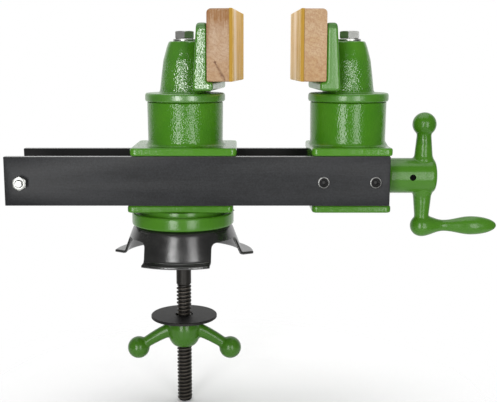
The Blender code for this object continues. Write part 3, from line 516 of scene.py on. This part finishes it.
# Painted shade: dead black on the crank pin's end.
pin_painted_shade = surface("pin_painted_shade", pin_shade_look)
zinc = surface("zinc_plate", zinc_look(1))
black_oxide = surface("black_oxide", oxide_look)
socket_black = surface("socket_black", head_look)
dull_zinc = surface("dull_zinc_plate", zinc_look(0.62))
brass = surface("machined_brass", brass_look)
left_beech = surface(
    "left_beech",
    beech_look(
        middle("left_jaw_block"),
        left_turn,
        core=(-0.050, -0.075),
        pale=(0.51, 0.372, 0.258),
        warm=(0.43, 0.268, 0.142),
        band=(0.24, 0.095, 0.028),
        rings=0.22,
        speckles=0.30,
        crown_share=0.95,
        bark_share=0.70,
        crack=((-0.0028, -0.0165), (0.0070, -0.0335)),
    ),
)
right_beech = surface(
    "right_beech",
    beech_look(
        middle("right_jaw_block"),
        right_turn,
        core=(0.040, -0.060),
        pale=(0.55, 0.400, 0.250),
        warm=(0.46, 0.290, 0.140),
        band=(0.30, 0.120, 0.045),
        rings=0.25,
        speckles=0.40,
        crown_share=0.10,
    ),
)
left_facing_wood = surface(
    "left_facing_wood", facing_look(middle("left_jaw_facing"), left_turn, (0.86, 0.61, 0.26), -0.030, 0.9)
)
right_facing_wood = surface(
    "right_facing_wood", facing_look(middle("right_jaw_facing"), right_turn, (0.95, 0.76, 0.49), 0.000, 0.3)
)


# Shapes
def arc(centre_radius, centre_height, radius, start, end, steps):
    """Points of an arc in a turned outline, from one angle in degrees to another."""
    angles = [math.radians(start + (end - start) * i / steps) for i in range(steps + 1)]
    return [(centre_radius + radius * math.cos(a), centre_height + radius * math.sin(a)) for a in angles]


def rimmed(bore, radius, low, high, low_ease, high_ease):
    """Outline of a flat ring with both rims eased."""
    lower = [(bore, low), (radius - low_ease, low), (radius, low + low_ease)]
    return lower + [(radius, high - high_ease), (radius - high_ease, high), (bore, high)]


def closed(shape):
    """Joins meeting corners and turns every face outwards."""
    bmesh.ops.remove_doubles(shape, verts=shape.verts, dist=0.000005)
    bmesh.ops.recalc_face_normals(shape, faces=shape.faces)
    return shape


def turned(outline, sides=72, ring=False):
    """Solid of revolution about Z; the outline holds (radius, height), and a ring's outline closes on itself."""
    shape = bmesh.new()
    verts = [shape.verts.new((radius, 0, height)) for radius, height in outline]
    pairs = list(zip(verts, verts[1:]))
    if ring:
        pairs.append((verts[-1], verts[0]))
    edges = [shape.edges.new(pair) for pair in pairs]
    bmesh.ops.spin(
        shape, geom=verts + edges, cent=(0, 0, 0), axis=(0, 0, 1), angle=math.tau, steps=sides, use_merge=True
    )
    return closed(shape)


def rod(radius, low, high, sides=32):
    """Plain bar along Z."""
    return turned([(0, low), (radius, low), (radius, high), (0, high)], sides)


def placed(shape, place=(0, 0, 0), along=(0, 0, 1), turn=0):
    """Turns a shape about Z, points its Z axis along a direction, then moves it to its place."""
    lean = Vector((0, 0, 1)).rotation_difference(Vector(along)).to_matrix().to_4x4()
    matrix = Matrix.Translation(place) @ lean @ Matrix.Rotation(turn, 4, "Z")
    bmesh.ops.transform(shape, matrix=matrix, verts=shape.verts)
    return shape


def gathered(shapes):
    """Several shapes in one."""
    whole = bmesh.new()
    for shape in shapes:
        part = bpy.data.meshes.new("part")
        shape.to_mesh(part)
        shape.free()
        whole.from_mesh(part)
        bpy.data.meshes.remove(part)
    return whole


def block(size, eases):
    """Box round the origin; each ease rounds the edges that its test accepts."""
    shape = bmesh.new()
    bmesh.ops.create_cube(shape, size=1, matrix=Matrix.Diagonal((*size, 1)))
    for radius, steps, chosen in eases:
        edges = [edge for edge in shape.edges if chosen((edge.verts[0].co + edge.verts[1].co) / 2)]
        bmesh.ops.bevel(
            shape,
            geom=edges,
            offset=radius,
            offset_type="OFFSET",
            segments=steps,
            profile=0.5,
            material=-1,
            affect="EDGES",
        )
    return closed(shape)


def sliced(shape, place, outwards):
    """Cuts off what lies beyond a plane and closes the cut."""
    everything = shape.verts[:] + shape.edges[:] + shape.faces[:]
    cut = bmesh.ops.bisect_plane(
        shape, geom=everything, dist=0.000001, plane_co=place, plane_no=outwards, clear_outer=True
    )
    rim = [item for item in cut["geom_cut"] if isinstance(item, bmesh.types.BMEdge)]
    bmesh.ops.edgeloop_fill(shape, edges=rim)
    return shape


def thread(radius, depth, pitch, low, high, lead_in, steps=30):
    """Rod along Z with one trapezoidal right-hand thread, its ends bevelled off."""
    shape = bmesh.new()
    core = radius - depth
    shoulder = radius - depth * 0.12
    ridge = [(core, 0), (core, 0.26), (shoulder, 0.46), (radius, 0.52), (radius, 0.78), (shoulder, 0.84), (core, 1)]
    verts = [shape.verts.new((reach, 0, low - 1.5 * pitch + share * pitch)) for reach, share in ridge]
    edges = [shape.edges.new(pair) for pair in zip(verts, verts[1:])]
    turns = math.ceil((high - low) / pitch) + 3
    bmesh.ops.spin(
        shape,
        geom=verts + edges,
        cent=(0, 0, 0),
        axis=(0, 0, 1),
        dvec=(0, 0, pitch / steps),
        angle=math.tau * turns,
        steps=steps * turns,
    )
    bmesh.ops.remove_doubles(shape, verts=shape.verts, dist=0.00001)
    sliced(shape, (0, 0, low), (0, 0, -1))
    sliced(shape, (0, 0, high), (0, 0, 1))
    for vert in shape.verts:
        reach = math.hypot(vert.co.x, vert.co.y)
        room = radius - lead_in + min(abs(vert.co.z - low), abs(high - vert.co.z))
        if reach > room:
            vert.co.x *= room / reach
            vert.co.y *= room / reach
    return closed(shape)


def run_out(start):
    """Start of a plain shank's outline: a core that reaches back into the thread, then a short cone."""
    overlap, cone = 0.004, 0.0012
    return [(0, start - overlap), (rod_core, start - overlap), (rod_core, start), (rod_radius, start + cone)]


def settled(made):
    """Applies an object's modifiers to its mesh."""
    graph = bpy.context.evaluated_depsgraph_get()
    mesh = bpy.data.meshes.new_from_object(made.evaluated_get(graph), depsgraph=graph)
    old = made.data
    made.modifiers.clear()
    made.data = mesh
    bpy.data.meshes.remove(old)
    return made


def worked(shape, tool, operation):
    """Cuts one closed shape with another, or keeps what they share."""
    pair = []
    for item in (shape, tool):
        mesh = bpy.data.meshes.new("blank")
        item.to_mesh(mesh)
        item.free()
        made = bpy.data.objects.new("blank", mesh)
        scene.collection.objects.link(made)
        pair.append(made)
    change = pair[0].modifiers.new("cut", "BOOLEAN")
    change.operation = operation
    change.solver = "EXACT"
    change.object = pair[1]
    settled(pair[0])
    result = bmesh.new()
    result.from_mesh(pair[0].data)
    for made in pair:
        mesh = made.data
        bpy.data.objects.remove(made)
        bpy.data.meshes.remove(mesh)
    return result


def hexagon(flats, low, high):
    """Hexagon bar along Z with both ends turned off at the corners."""
    corner = flats / math.sqrt(3)
    clear = corner + 0.0005
    face = flats * 0.475
    drop = (corner - face) * math.tan(math.radians(30))
    lathe = [(0, low), (face, low), (clear, low + drop), (clear, high - drop), (face, high), (0, high)]
    return worked(rod(corner, low, high, 6), turned(lathe, 72), "INTERSECT")


# Pieces; a cutting shape reaches past the face that it opens, less far on a small piece
past, small_past = 0.002, 0.001


def piece(name, shape, look, body, replaced, sharp=35):
    """Named object of one shape that rides on a body and stands for the nodes it replaces."""
    mesh = bpy.data.meshes.new(name)
    shape.to_mesh(mesh)
    shape.free()
    mesh.shade_smooth()
    mesh.set_sharp_from_angle(angle=math.radians(sharp))
    made = bpy.data.objects.new(name, mesh)
    scene.collection.objects.link(made)
    made.data.materials.append(look)
    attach(made, body)
    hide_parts(*replaced)
    return made


def bored(made, cutters):
    """Cuts shapes out of a piece."""
    shape = bmesh.new()
    shape.from_mesh(made.data)
    shape = worked(shape, gathered(cutters), "DIFFERENCE")
    shape.to_mesh(made.data)
    shape.free()
    made.data.set_sharp_from_angle(angle=math.radians(35))
    return made


def trued(mesh, axis, low, high, inner, outer, phase):
    """Draws the flats of a turned form out to a true circle, between two heights and two radii."""
    step = math.tau / turned_sides
    for vert in mesh.vertices:
        x, y, z = vert.co.x - axis.x, vert.co.y - axis.y, vert.co.z
        reach = math.hypot(x, y)
        if low < z < high and inner < reach < outer:
            angle = (math.atan2(y, x) - phase) % step - step / 2
            share = math.cos(angle) / math.cos(step / 2)
            vert.co.x = axis.x + x * share
            vert.co.y = axis.y + y * share


def softened(made, grain, passes, rounds=()):
    """Draws a casting's skin at one even grain and eases its edges as a sand mould leaves them."""
    change = made.modifiers.new("skin", "REMESH")
    change.mode = "VOXEL"
    change.voxel_size = grain
    change.use_smooth_shade = True
    settled(made)
    for zone in rounds:
        trued(made.data, *zone)
    shape = bmesh.new()
    shape.from_mesh(made.data)
    for _ in range(passes):
        bmesh.ops.smooth_vert(shape, verts=shape.verts, factor=0.5, use_axis_x=True, use_axis_y=True, use_axis_z=True)
    shape.to_mesh(made.data)
    shape.free()
    made.data.shade_smooth()
    return made


def casting(node, body, look, grain, passes, rounds=()):
    """Softened stand-in for a cast or pressed node."""
    shape = bmesh.new()
    shape.from_mesh(nodes[node].data)
    bmesh.ops.remove_doubles(shape, verts=shape.verts, dist=0.00001)
    return softened(piece(f"{node}_skin", shape, look, body, [node]), grain, passes, rounds)


# Castings; each zone that is round has an axis, two heights, two radii and the turn of its flats
far = 1
tower_inner, tower_outer = 0.030, 0.046
boss_inner, boss_outer = 0.012, 0.0285
sheet_inner, sheet_outer = 0.010, 0.080
boss_floor = collar_floor + 0.0105
head_grain, turret_grain, fine_grain = 0.0009, 0.0010, 0.0008
for side, body, tower, look in (
    ("left", "vise", left_tower, enamel),
    ("right", "carriage", right_tower, carriage_enamel),
):
    barrel = (tower, plate_top + 0.0002, far, tower_inner, tower_outer, 0)
    casting(f"{side}_head", body, look, head_grain, 3, [barrel])
for side, body in (("left", "vise"), ("right", "carriage")):
    casting(f"{side}_lower_plate", body, plate_enamel, head_grain, 2)
for side, body, tower, turn, look in (
    ("left", "left_jaw", left_tower, left_turn, left_coarse),
    ("right", "right_jaw", right_tower, right_turn, right_coarse),
):
    collar = (tower, 0, boss_floor, tower_inner, tower_outer, turn)
    boss = (tower, boss_floor, far, boss_inner, boss_outer, turn)
    casting(f"{side}_turret", body, look, turret_grain, 4, [collar, boss])
sheet = (spindle_line, -far, far, sheet_inner, sheet_outer, 0)
casting("bench_stand", "stand", stand_paint, fine_grain, 4, [sheet])

# Swivel base: disc with a neck on top
disc_low, disc_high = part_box("swivel_base")
disc_radius = (disc_high.x - disc_low.x) / 2
disc_thickness = 0.0135
disc_ease = 0.0020
disc_bore = 0.0083
neck_inset = 0.0073
neck_radius = disc_radius - neck_inset
disc_outline = [(disc_bore, disc_low.z)]
disc_outline += arc(disc_radius - disc_ease, disc_low.z + disc_ease, disc_ease, 270, 360, 4)
disc_outline += arc(disc_radius - disc_ease, disc_low.z + disc_thickness - disc_ease, disc_ease, 0, 90, 4)
disc_outline += arc(neck_radius + disc_ease, disc_low.z + disc_thickness + disc_ease, disc_ease, 270, 180, 4)
disc_outline += [(neck_radius, disc_high.z), (disc_bore, disc_high.z)]
piece("swivel_disc", turned(disc_outline, 96, ring=True), plate_enamel, "vise", ["swivel_base"])

# Crank: hub, counterweight arm and handle in one casting
hub_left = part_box("crank")[0].x
hub_radius, hub_edge_start, hub_length = 0.0186, 0.0461, 0.0536
hub_ease, hub_edge = 0.0012, 0.0060
arm_place = hub_left + 0.0388
handle_steps = 28
arm_foot_radius, arm_radius, arm_tip_radius = 0.0112, 0.0096, 0.0077
arm_foot_end, arm_start, arm_end = 0.0171, 0.0212, 0.0422
ball_radius, ball_reach = 0.0126, 0.0544
elbow_reach = 0.0540
knuckle_radius, handle_neck_radius, grip_radius = 0.0118, 0.0060, 0.0099
handle_neck_place, grip_place, handle_length = 0.0238, 0.0530, 0.0806
pin_hole_radius, pin_hole_reach = 0.0033, 0.030
mouth_radius, mouth_depth = 0.0073, 0.0443


def handle_radius(reach):
    """Handle's radius at a distance out from the elbow: knuckle, neck and grip."""
    if reach < handle_neck_place:
        share = (1 - math.cos(math.pi * reach / handle_neck_place)) / 2
        return knuckle_radius + (handle_neck_radius - knuckle_radius) * share
    if reach < grip_place:
        share = (1 - math.cos(math.pi * (reach - handle_neck_place) / (grip_place - handle_neck_place))) / 2
        return handle_neck_radius + (grip_radius - handle_neck_radius) * share
    return grip_radius * math.sqrt(max(1 - ((reach - grip_place) / (handle_length - grip_place)) ** 2, 0))


hub = [(0, 0), (hub_radius - hub_ease, 0), (hub_radius, hub_ease)]
hub += arc(hub_radius - hub_edge, hub_edge_start, hub_edge, 0, 50, 5) + [(0, hub_length)]
arm = [(0, 0), (arm_foot_radius, 0), (arm_foot_radius, arm_foot_end)]
arm += [(arm_radius, arm_start), (arm_tip_radius, arm_end)]
counter_arm = arm + arc(0, ball_reach, ball_radius, -52, 90, 14)
handle_arm = arm + [(arm_tip_radius, elbow_reach), (0, elbow_reach)]
handle = arc(0, 0, knuckle_radius, -90, 0, 10)
for step in range(1, handle_steps + 1):
    reach = handle_length * math.sin(step / handle_steps * math.pi / 2)
    handle.append((handle_radius(reach), reach))
crank_shape = gathered(
    [
        placed(turned(hub, 64), (hub_left, 0, screw_line.z), (1, 0, 0)),
        placed(turned(counter_arm, 48), (arm_place, 0, screw_line.z)),
        placed(turned(handle_arm, 48), (arm_place, 0, screw_line.z), (0, 0, -1)),
        placed(turned(handle, 48), (arm_place, 0, screw_line.z - elbow_reach), (1, 0, 0)),
    ]
)
crank = piece("crank_casting", crank_shape, crank_enamel, "screw", ["crank"])
softened(crank, fine_grain, 5)
at_pin = (middle("crank_pin").x, 0, screw_line.z)
pin_hole = placed(rod(pin_hole_radius, -pin_hole_reach, pin_hole_reach), at_pin, (0, 1, 0))
mouth = placed(rod(mouth_radius, -past, mouth_depth), (hub_left, 0, screw_line.z), (1, 0, 0))
bored(crank, [pin_hole, mouth])

# Wing nut, drawn below its top face
nut_top = (middle("wing_nut").x, middle("wing_nut").y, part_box("wing_nut")[1].z)
nut_face_radius, nut_radius, nut_bore = 0.0150, 0.0175, 0.0083
nut_flare_end, nut_round_start, nut_depth = 0.0103, 0.0177, 0.0308
wing_steps = 12
wing_start, wing_start_drop = 0.0080, 0.0110
wing_half_width, wing_half_height, wing_slimming, wing_arch = 0.0066, 0.0084, 0.0014, 0.0020
knob_radius, knob_reach, knob_drop = 0.0120, 0.0502, 0.0344


def wing_arm(side):
    """Arched arm from the hub out to its knob, drawn through elliptical rings."""
    shape = bmesh.new()
    rings = []
    for step in range(wing_steps + 1):
        share = step / wing_steps
        crown = wing_arch * math.sin(math.pi * share)
        tall = wing_half_height - wing_slimming * share
        made = bmesh.ops.create_circle(shape, cap_ends=step in (0, wing_steps), segments=40, radius=1)["verts"]
        bmesh.ops.scale(shape, verts=made, vec=(tall, wing_half_width, 1))
        bmesh.ops.rotate(shape, verts=made, cent=(0, 0, 0), matrix=Matrix.Rotation(math.pi / 2, 3, "Y"))
        reach = wing_start + (knob_reach - wing_start) * share
        drop = wing_start_drop + (knob_drop - wing_start_drop) * share
        bmesh.ops.translate(shape, verts=made, vec=(side * reach, 0, crown - drop))
        rings.append(list({edge for vert in made for edge in vert.link_edges}))
    for inner, outer in zip(rings, rings[1:]):
        bmesh.ops.bridge_loops(shape, edges=inner + outer)
    return closed(shape)


nut_outline = [(0, 0), (nut_face_radius, 0), (nut_radius, -nut_flare_end)]
nut_outline += arc(0, -nut_round_start, nut_radius, 0, -50, 8) + [(nut_bore, -nut_depth), (0, -nut_depth)]
wing_shapes = [turned(nut_outline, 64)]
for side in (-1, 1):
    wing_shapes.append(wing_arm(side))
    wing_shapes.append(placed(turned(arc(0, 0, knob_radius, -90, 90, 24), 48), (side * knob_reach, 0, -knob_drop)))
wing_shape = placed(gathered(wing_shapes), nut_top)
wing = piece("wing_nut_casting", wing_shape, wing_enamel, "wing", ["wing_nut"])
softened(wing, fine_grain, 5)
bored(wing, [placed(rod(nut_bore, -0.040, past, 40), nut_top)])

# Clamp washer and spindle
washer_low, washer_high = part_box("clamp_washer")
washer_radius = (washer_high.x - washer_low.x) / 2
washer_bore, washer_ease = 0.0095, 0.0005
washer_outline = rimmed(washer_bore, washer_radius, washer_low.z, washer_high.z, washer_ease, washer_ease)
on_spindle = (spindle_line.x, spindle_line.y, 0)
washer_shape = placed(turned(washer_outline, 96, ring=True), on_spindle)
piece("bench_washer", washer_shape, washer_steel, "clamp", ["clamp_washer"])
spindle_low, spindle_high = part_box("clamp_spindle")
spindle_depth, spindle_bevel = 0.0017, 0.0016
spindle_head = [(rod_radius, spindle_high.z - spindle_bevel), (rod_core, spindle_high.z), (0, spindle_high.z)]
spindle_shape = gathered(
    [
        thread(rod_radius, spindle_depth, rod_pitch, spindle_low.z, thread_top, spindle_bevel),
        turned(run_out(thread_top) + spindle_head, 48),
    ]
)
piece(
    "threaded_spindle",
    placed(spindle_shape, on_spindle),
    spindle_steel,
    "vise",
    ["clamp_spindle"],
)

# Lead screw
screw_low, screw_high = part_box("lead_screw")
screw_depth, screw_bevel = 0.0016, 0.0015
screw_tail = [(rod_radius, journal), (journal_radius, journal), (journal_radius, screw_high.x), (0, screw_high.x)]
screw_shape = gathered(
    [
        thread(rod_radius, screw_depth, rod_pitch, screw_low.x, thread_end, screw_bevel),
        turned(run_out(thread_end) + screw_tail, 48),
    ]
)
piece(
    "threaded_lead_screw",
    placed(screw_shape, (0, screw_line.y, screw_line.z), (1, 0, 0)),
    screw_steel,
    "screw",
    ["lead_screw"],
)

# Turret bolts and washers, each bolt left at its own angle
flat_bore, flat_radius, flat_low_ease, flat_high_ease = 0.0063, 0.0120, 0.0003, 0.0004
bolt_flats, bolt_head_height, bolt_radius, bolt_point, bolt_overlap = 0.0190, 0.0078, 0.0060, 0.0010, 0.005
for side, body, tower, turn in (
    ("left", "vise", left_tower, math.radians(33)),
    ("right", "carriage", right_tower, math.radians(17)),
):
    place = (tower.x, tower.y, 0)
    low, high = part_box(f"{side}_turret_washer")
    ring = turned(rimmed(flat_bore, flat_radius, low.z, high.z, flat_low_ease, flat_high_ease), 48, ring=True)
    piece(f"{side}_flat_washer", placed(ring, place), zinc, body, [f"{side}_turret_washer"])
    low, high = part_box(f"{side}_turret_bolt")
    head = hexagon(bolt_flats, high.z - bolt_head_height, high.z)
    shank_top = high.z - bolt_overlap
    shank = [(0, low.z), (bolt_radius - bolt_point, low.z), (bolt_radius, low.z + bolt_point)]
    shank += [(bolt_radius, shank_top), (0, shank_top)]
    bolt = gathered([placed(head, turn=turn), turned(shank, 32)])
    piece(f"{side}_hexagon_bolt", placed(bolt, place), zinc, body, [f"{side}_turret_bolt"])

# Rails with their countersunk screws; heights in these outlines count out from the rail's face
rail_ease = 0.0006
tie_hole_radius, tie_hole_reach = 0.0043, 0.060
screw_radius, screw_length = 0.0030, 0.0260
head_radius, head_rim_radius, head_depth = 0.0059, 0.0047, 0.0004
sink_radius, sink_bore = 0.0062, 0.0033
sink = [(0, -0.010), (sink_bore, -0.010), (sink_bore, -0.0031)]
sink += [(sink_radius, -0.0006), (sink_radius, past), (0, past)]
screw_outline = [(0, -screw_length), (screw_radius, -screw_length), (screw_radius, -0.0029)]
screw_outline += [(head_radius, -0.0012), (head_radius, -0.0009), (head_rim_radius, -head_depth), (0, -head_depth)]
key_radius = 0.0029
key_outline = [(0, -0.0036), (key_radius, -0.0030), (key_radius, small_past), (0, small_past)]
for word, side in (("front", -1), ("rear", 1)):
    low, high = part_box(f"{word}_rail")
    face = high.y if side > 0 else low.y
    outwards = (0, side, 0)
    screws = [f"{word}_rail_screw_{index}" for index in (1, 2)]
    places = [(middle(screw).x, face, middle(screw).z) for screw in screws]
    bar = placed(block(high - low, [(rail_ease, 2, lambda edge: True)]), (low + high) / 2)
    rail = piece(f"{word}_rail_bar", bar, rail_paint, "carriage", [f"{word}_rail"], 50)
    tie_hole = placed(rod(tie_hole_radius, -tie_hole_reach, tie_hole_reach), (tie_line.x, 0, tie_line.z), (0, 1, 0))
    bored(rail, [tie_hole] + [placed(turned(sink, 48), place, outwards) for place in places])
    for index, (screw, place) in enumerate(zip(screws, places), 1):
        head = placed(turned(screw_outline, 48), place, outwards)
        made = piece(f"{word}_socket_screw_{index}", head, socket_black, "carriage", [screw])
        bored(made, [placed(turned(key_outline, 6), place, outwards)])

# Tie bolt with its nut
tie_flats, tie_head_height = 0.0130, 0.0053
tie_radius, tie_core, tie_thread, tie_pitch, tie_bevel = 0.0040, 0.0034, 0.014, 0.00125, 0.0008
at_tie = (tie_line.x, 0, tie_line.z)
nut_low, nut_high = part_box("tie_nut")
nut = placed(placed(hexagon(tie_flats, nut_low.y, nut_high.y), turn=math.radians(30)), at_tie, (0, 1, 0))
tie_nut = piece("tie_hexagon_nut", nut, dull_zinc, "carriage", ["tie_nut"])
bored(tie_nut, [placed(rod(tie_hole_radius, nut_low.y - small_past, nut_high.y + small_past), at_tie, (0, 1, 0))])
bolt_low, bolt_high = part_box("tie_bolt")
shank_low, shank_high = bolt_low.y + tie_thread, bolt_high.y - 0.003
tie_shank = [(0, shank_low - 0.002), (tie_core, shank_low - 0.002), (tie_radius, shank_low + 0.0002)]
tie_shank += [(tie_radius, shank_high), (0, shank_high)]
tie_shape = gathered(
    [
        thread(tie_radius, tie_radius - tie_core, tie_pitch, bolt_low.y, shank_low, tie_bevel, 24),
        turned(tie_shank, 32),
        hexagon(tie_flats, bolt_high.y - tie_head_height, bolt_high.y),
    ]
)
piece("tie_rod", placed(tie_shape, at_tie, (0, 1, 0)), dull_zinc, "carriage", ["tie_bolt"])

# Jaw screws, whose domed heads have a key hole
jaw_screw_length, jaw_screw_radius = 0.0265, 0.0030
dome_radius, dome_height = 0.0055, 0.0030
dome = [(0, 0.0002), (0.0036, 0.0004), (0.0050, 0.0013), (dome_radius, 0.0026), (dome_radius, dome_height)]
dome += [(jaw_screw_radius, dome_height), (jaw_screw_radius, jaw_screw_length), (0, jaw_screw_length)]
dome_key_radius = 0.0023
dome_key = [(0, -small_past), (dome_key_radius, -small_past), (dome_key_radius, 0.0018), (0, 0.0026)]
for side, body, turn in (("left", "left_jaw", left_turn), ("right", "right_jaw", right_turn)):
    along = Matrix.Rotation(turn, 3, "Z") @ Vector((1, 0, 0))
    for index in range(1, 5):
        node = f"{side}_jaw_screw_{index}"
        back = middle(node) - along * jaw_screw_length / 2
        screw = piece(f"{node}_head", placed(turned(dome, 40), back, along), zinc, body, [node])
        bored(screw, [placed(turned(dome_key, 6), back, along)])

# Jaws: a block whose top and foot are eased except at its face, and a facing whose front is eased
jaw_thickness, jaw_width, facing_thickness = 0.0220, 0.1040, 0.0037
block_face, facing_front = jaw_thickness / 2 - 0.0001, facing_thickness / 2 - 0.0001
top_ease, foot_ease, front_ease, foot_line = 0.0045, 0.0018, 0.0013, -0.0300
block_eases = [
    (top_ease, 6, lambda edge: edge.z > 0 and edge.x < block_face),
    (foot_ease, 4, lambda edge: edge.z < foot_line and edge.x < block_face),
]
facing_eases = [(front_ease, 4, lambda edge: edge.x > facing_front)]
for side, body, turn, wood, facing_wood in (
    ("left", "left_jaw", left_turn, left_beech, left_facing_wood),
    ("right", "right_jaw", right_turn, right_beech, right_facing_wood),
):
    low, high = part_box(f"{side}_jaw_block")
    tall = high.z - low.z
    blank = placed(block((jaw_thickness, jaw_width, tall), block_eases), (low + high) / 2, turn=turn)
    piece(f"{side}_beech_block", blank, wood, body, [f"{side}_jaw_block"])
    slab = block((facing_thickness, jaw_width, tall), facing_eases)
    slab = placed(slab, middle(f"{side}_jaw_facing"), turn=turn)
    piece(f"{side}_facing_slab", slab, facing_wood, body, [f"{side}_jaw_facing"])

# Nodes whose own shape is kept
kept = {
    "lead_nut": brass,
    "bearing_bush": brass,
    "thrust_collar": zinc,
    "tie_spacer": zinc,
    # painted shade: the crank pin's end is dead black
    "crank_pin": pin_painted_shade,
    "collar_grub_screw": black_oxide,
}
for name in nodes:
    if name.startswith(("left_plate_screw", "right_plate_screw", "nut_screw")):
        kept[name] = black_oxide
for name, look in kept.items():
    for index in range(len(nodes[name].material_slots)):
        nodes[name].material_slots[index].material = look

# Floor: a pale sheet just under the spindle
floor_radius, floor_gap = 0.5, 0.0005
floor_middle = (0.05, 0)
fade_start, fade_end = 0.12, 0.34
under = Matrix.Translation((*floor_middle, spindle_low.z - floor_gap))
floor_shape = bmesh.new()
bmesh.ops.create_circle(floor_shape, cap_ends=True, segments=96, radius=floor_radius, matrix=under)
floor_mesh = bpy.data.meshes.new("floor")
floor_shape.to_mesh(floor_mesh)
floor_shape.free()
floor = bpy.data.objects.new("floor", floor_mesh)
scene.collection.objects.link(floor)


def floor_look(place):
    """Pale sheet that runs out into the white backdrop as the camera sees it."""
    seen = place.node("ShaderNodeLightPath", None, None, "Is Camera Ray")
    across, along, up = parts_of(placed_at(place, (*floor_middle, 0)))
    reach = maths("SQRT", across * across + along * along)
    return {
        "Base Color": tinted(seen, shade(0.80), shade(0.99)),
        "Roughness": 0.9,
        "Specular IOR Level": 0.0,
        "Alpha": 1 - seen * spread(reach, fade_start, fade_end),
    }


floor.data.materials.append(surface("pale_floor", floor_look))

# Light: a white backdrop, a room that is dark in front and pale behind, two upright softboxes and a sheet overhead
world = bpy.data.worlds.new("studio")
world.use_nodes = True
scene.world = world
start = Wire(world.node_tree)
path = "ShaderNodeLightPath"
straight = start.node(path, None, None, "Is Camera Ray") + start.node(path, None, None, "Is Transmission Ray")
mirrored = start.node(path, None, None, "Is Glossy Ray")
depth = parts_of(start.node("ShaderNodeTexCoord", None, None, "Generated"))[1]
fill = spread(depth, -0.45, 0.30, 0.16, 1.0)
studio = between(mirrored, fill, spread(depth, 0.30, 0.70, 0.12, 1.0))
backdrop = world.node_tree.nodes["Background"]
backdrop.inputs["Color"].default_value = (1, 1, 1, 1)
world.node_tree.links.new(at_most(1, studio + straight).socket, backdrop.inputs["Strength"])


def softbox(name, place, target, size, strength):
    """Rectangular lamp that points at a target."""
    lamp = bpy.data.lights.new(name, "AREA")
    lamp.shape = "RECTANGLE"
    lamp.size, lamp.size_y = size
    lamp.energy = strength
    made = bpy.data.objects.new(name, lamp)
    made.location = place
    made.rotation_euler = (Vector(target) - Vector(place)).to_track_quat("-Z", "Y").to_euler()
    scene.collection.objects.link(made)


lamp_target, lamp_distance, lamp_height = 0.04, 3.0, 0.25
for name, degrees, width, strength in (("left_softbox", -19.4, 0.82, 57), ("right_softbox", 22.4, 0.87, 42)):
    turn = math.radians(degrees)
    place = (lamp_target + lamp_distance * math.sin(turn), -lamp_distance * math.cos(turn), lamp_height)
    softbox(name, place, (lamp_target, 0, lamp_height), (width, 2.70), strength)
softbox("overhead", (0.05, 0.15, 1.5), (lamp_target, 0, 0.08), (1.6, 1.2), 10)

# Camera: the photograph's place, tipped down at the vise
camera_data = bpy.data.cameras.new("camera")
camera_data.sensor_width = 36
camera_data.lens = 61.57
camera_data.shift_x = 0.0211
camera = bpy.data.objects.new("camera", camera_data)
camera.location = (0.0588, -0.896, 0.205)
camera.rotation_euler = (math.radians(90 - 9.353), 0, 0)
scene.collection.objects.link(camera)
scene.camera = camera
scene.view_settings.view_transform = "Standard"
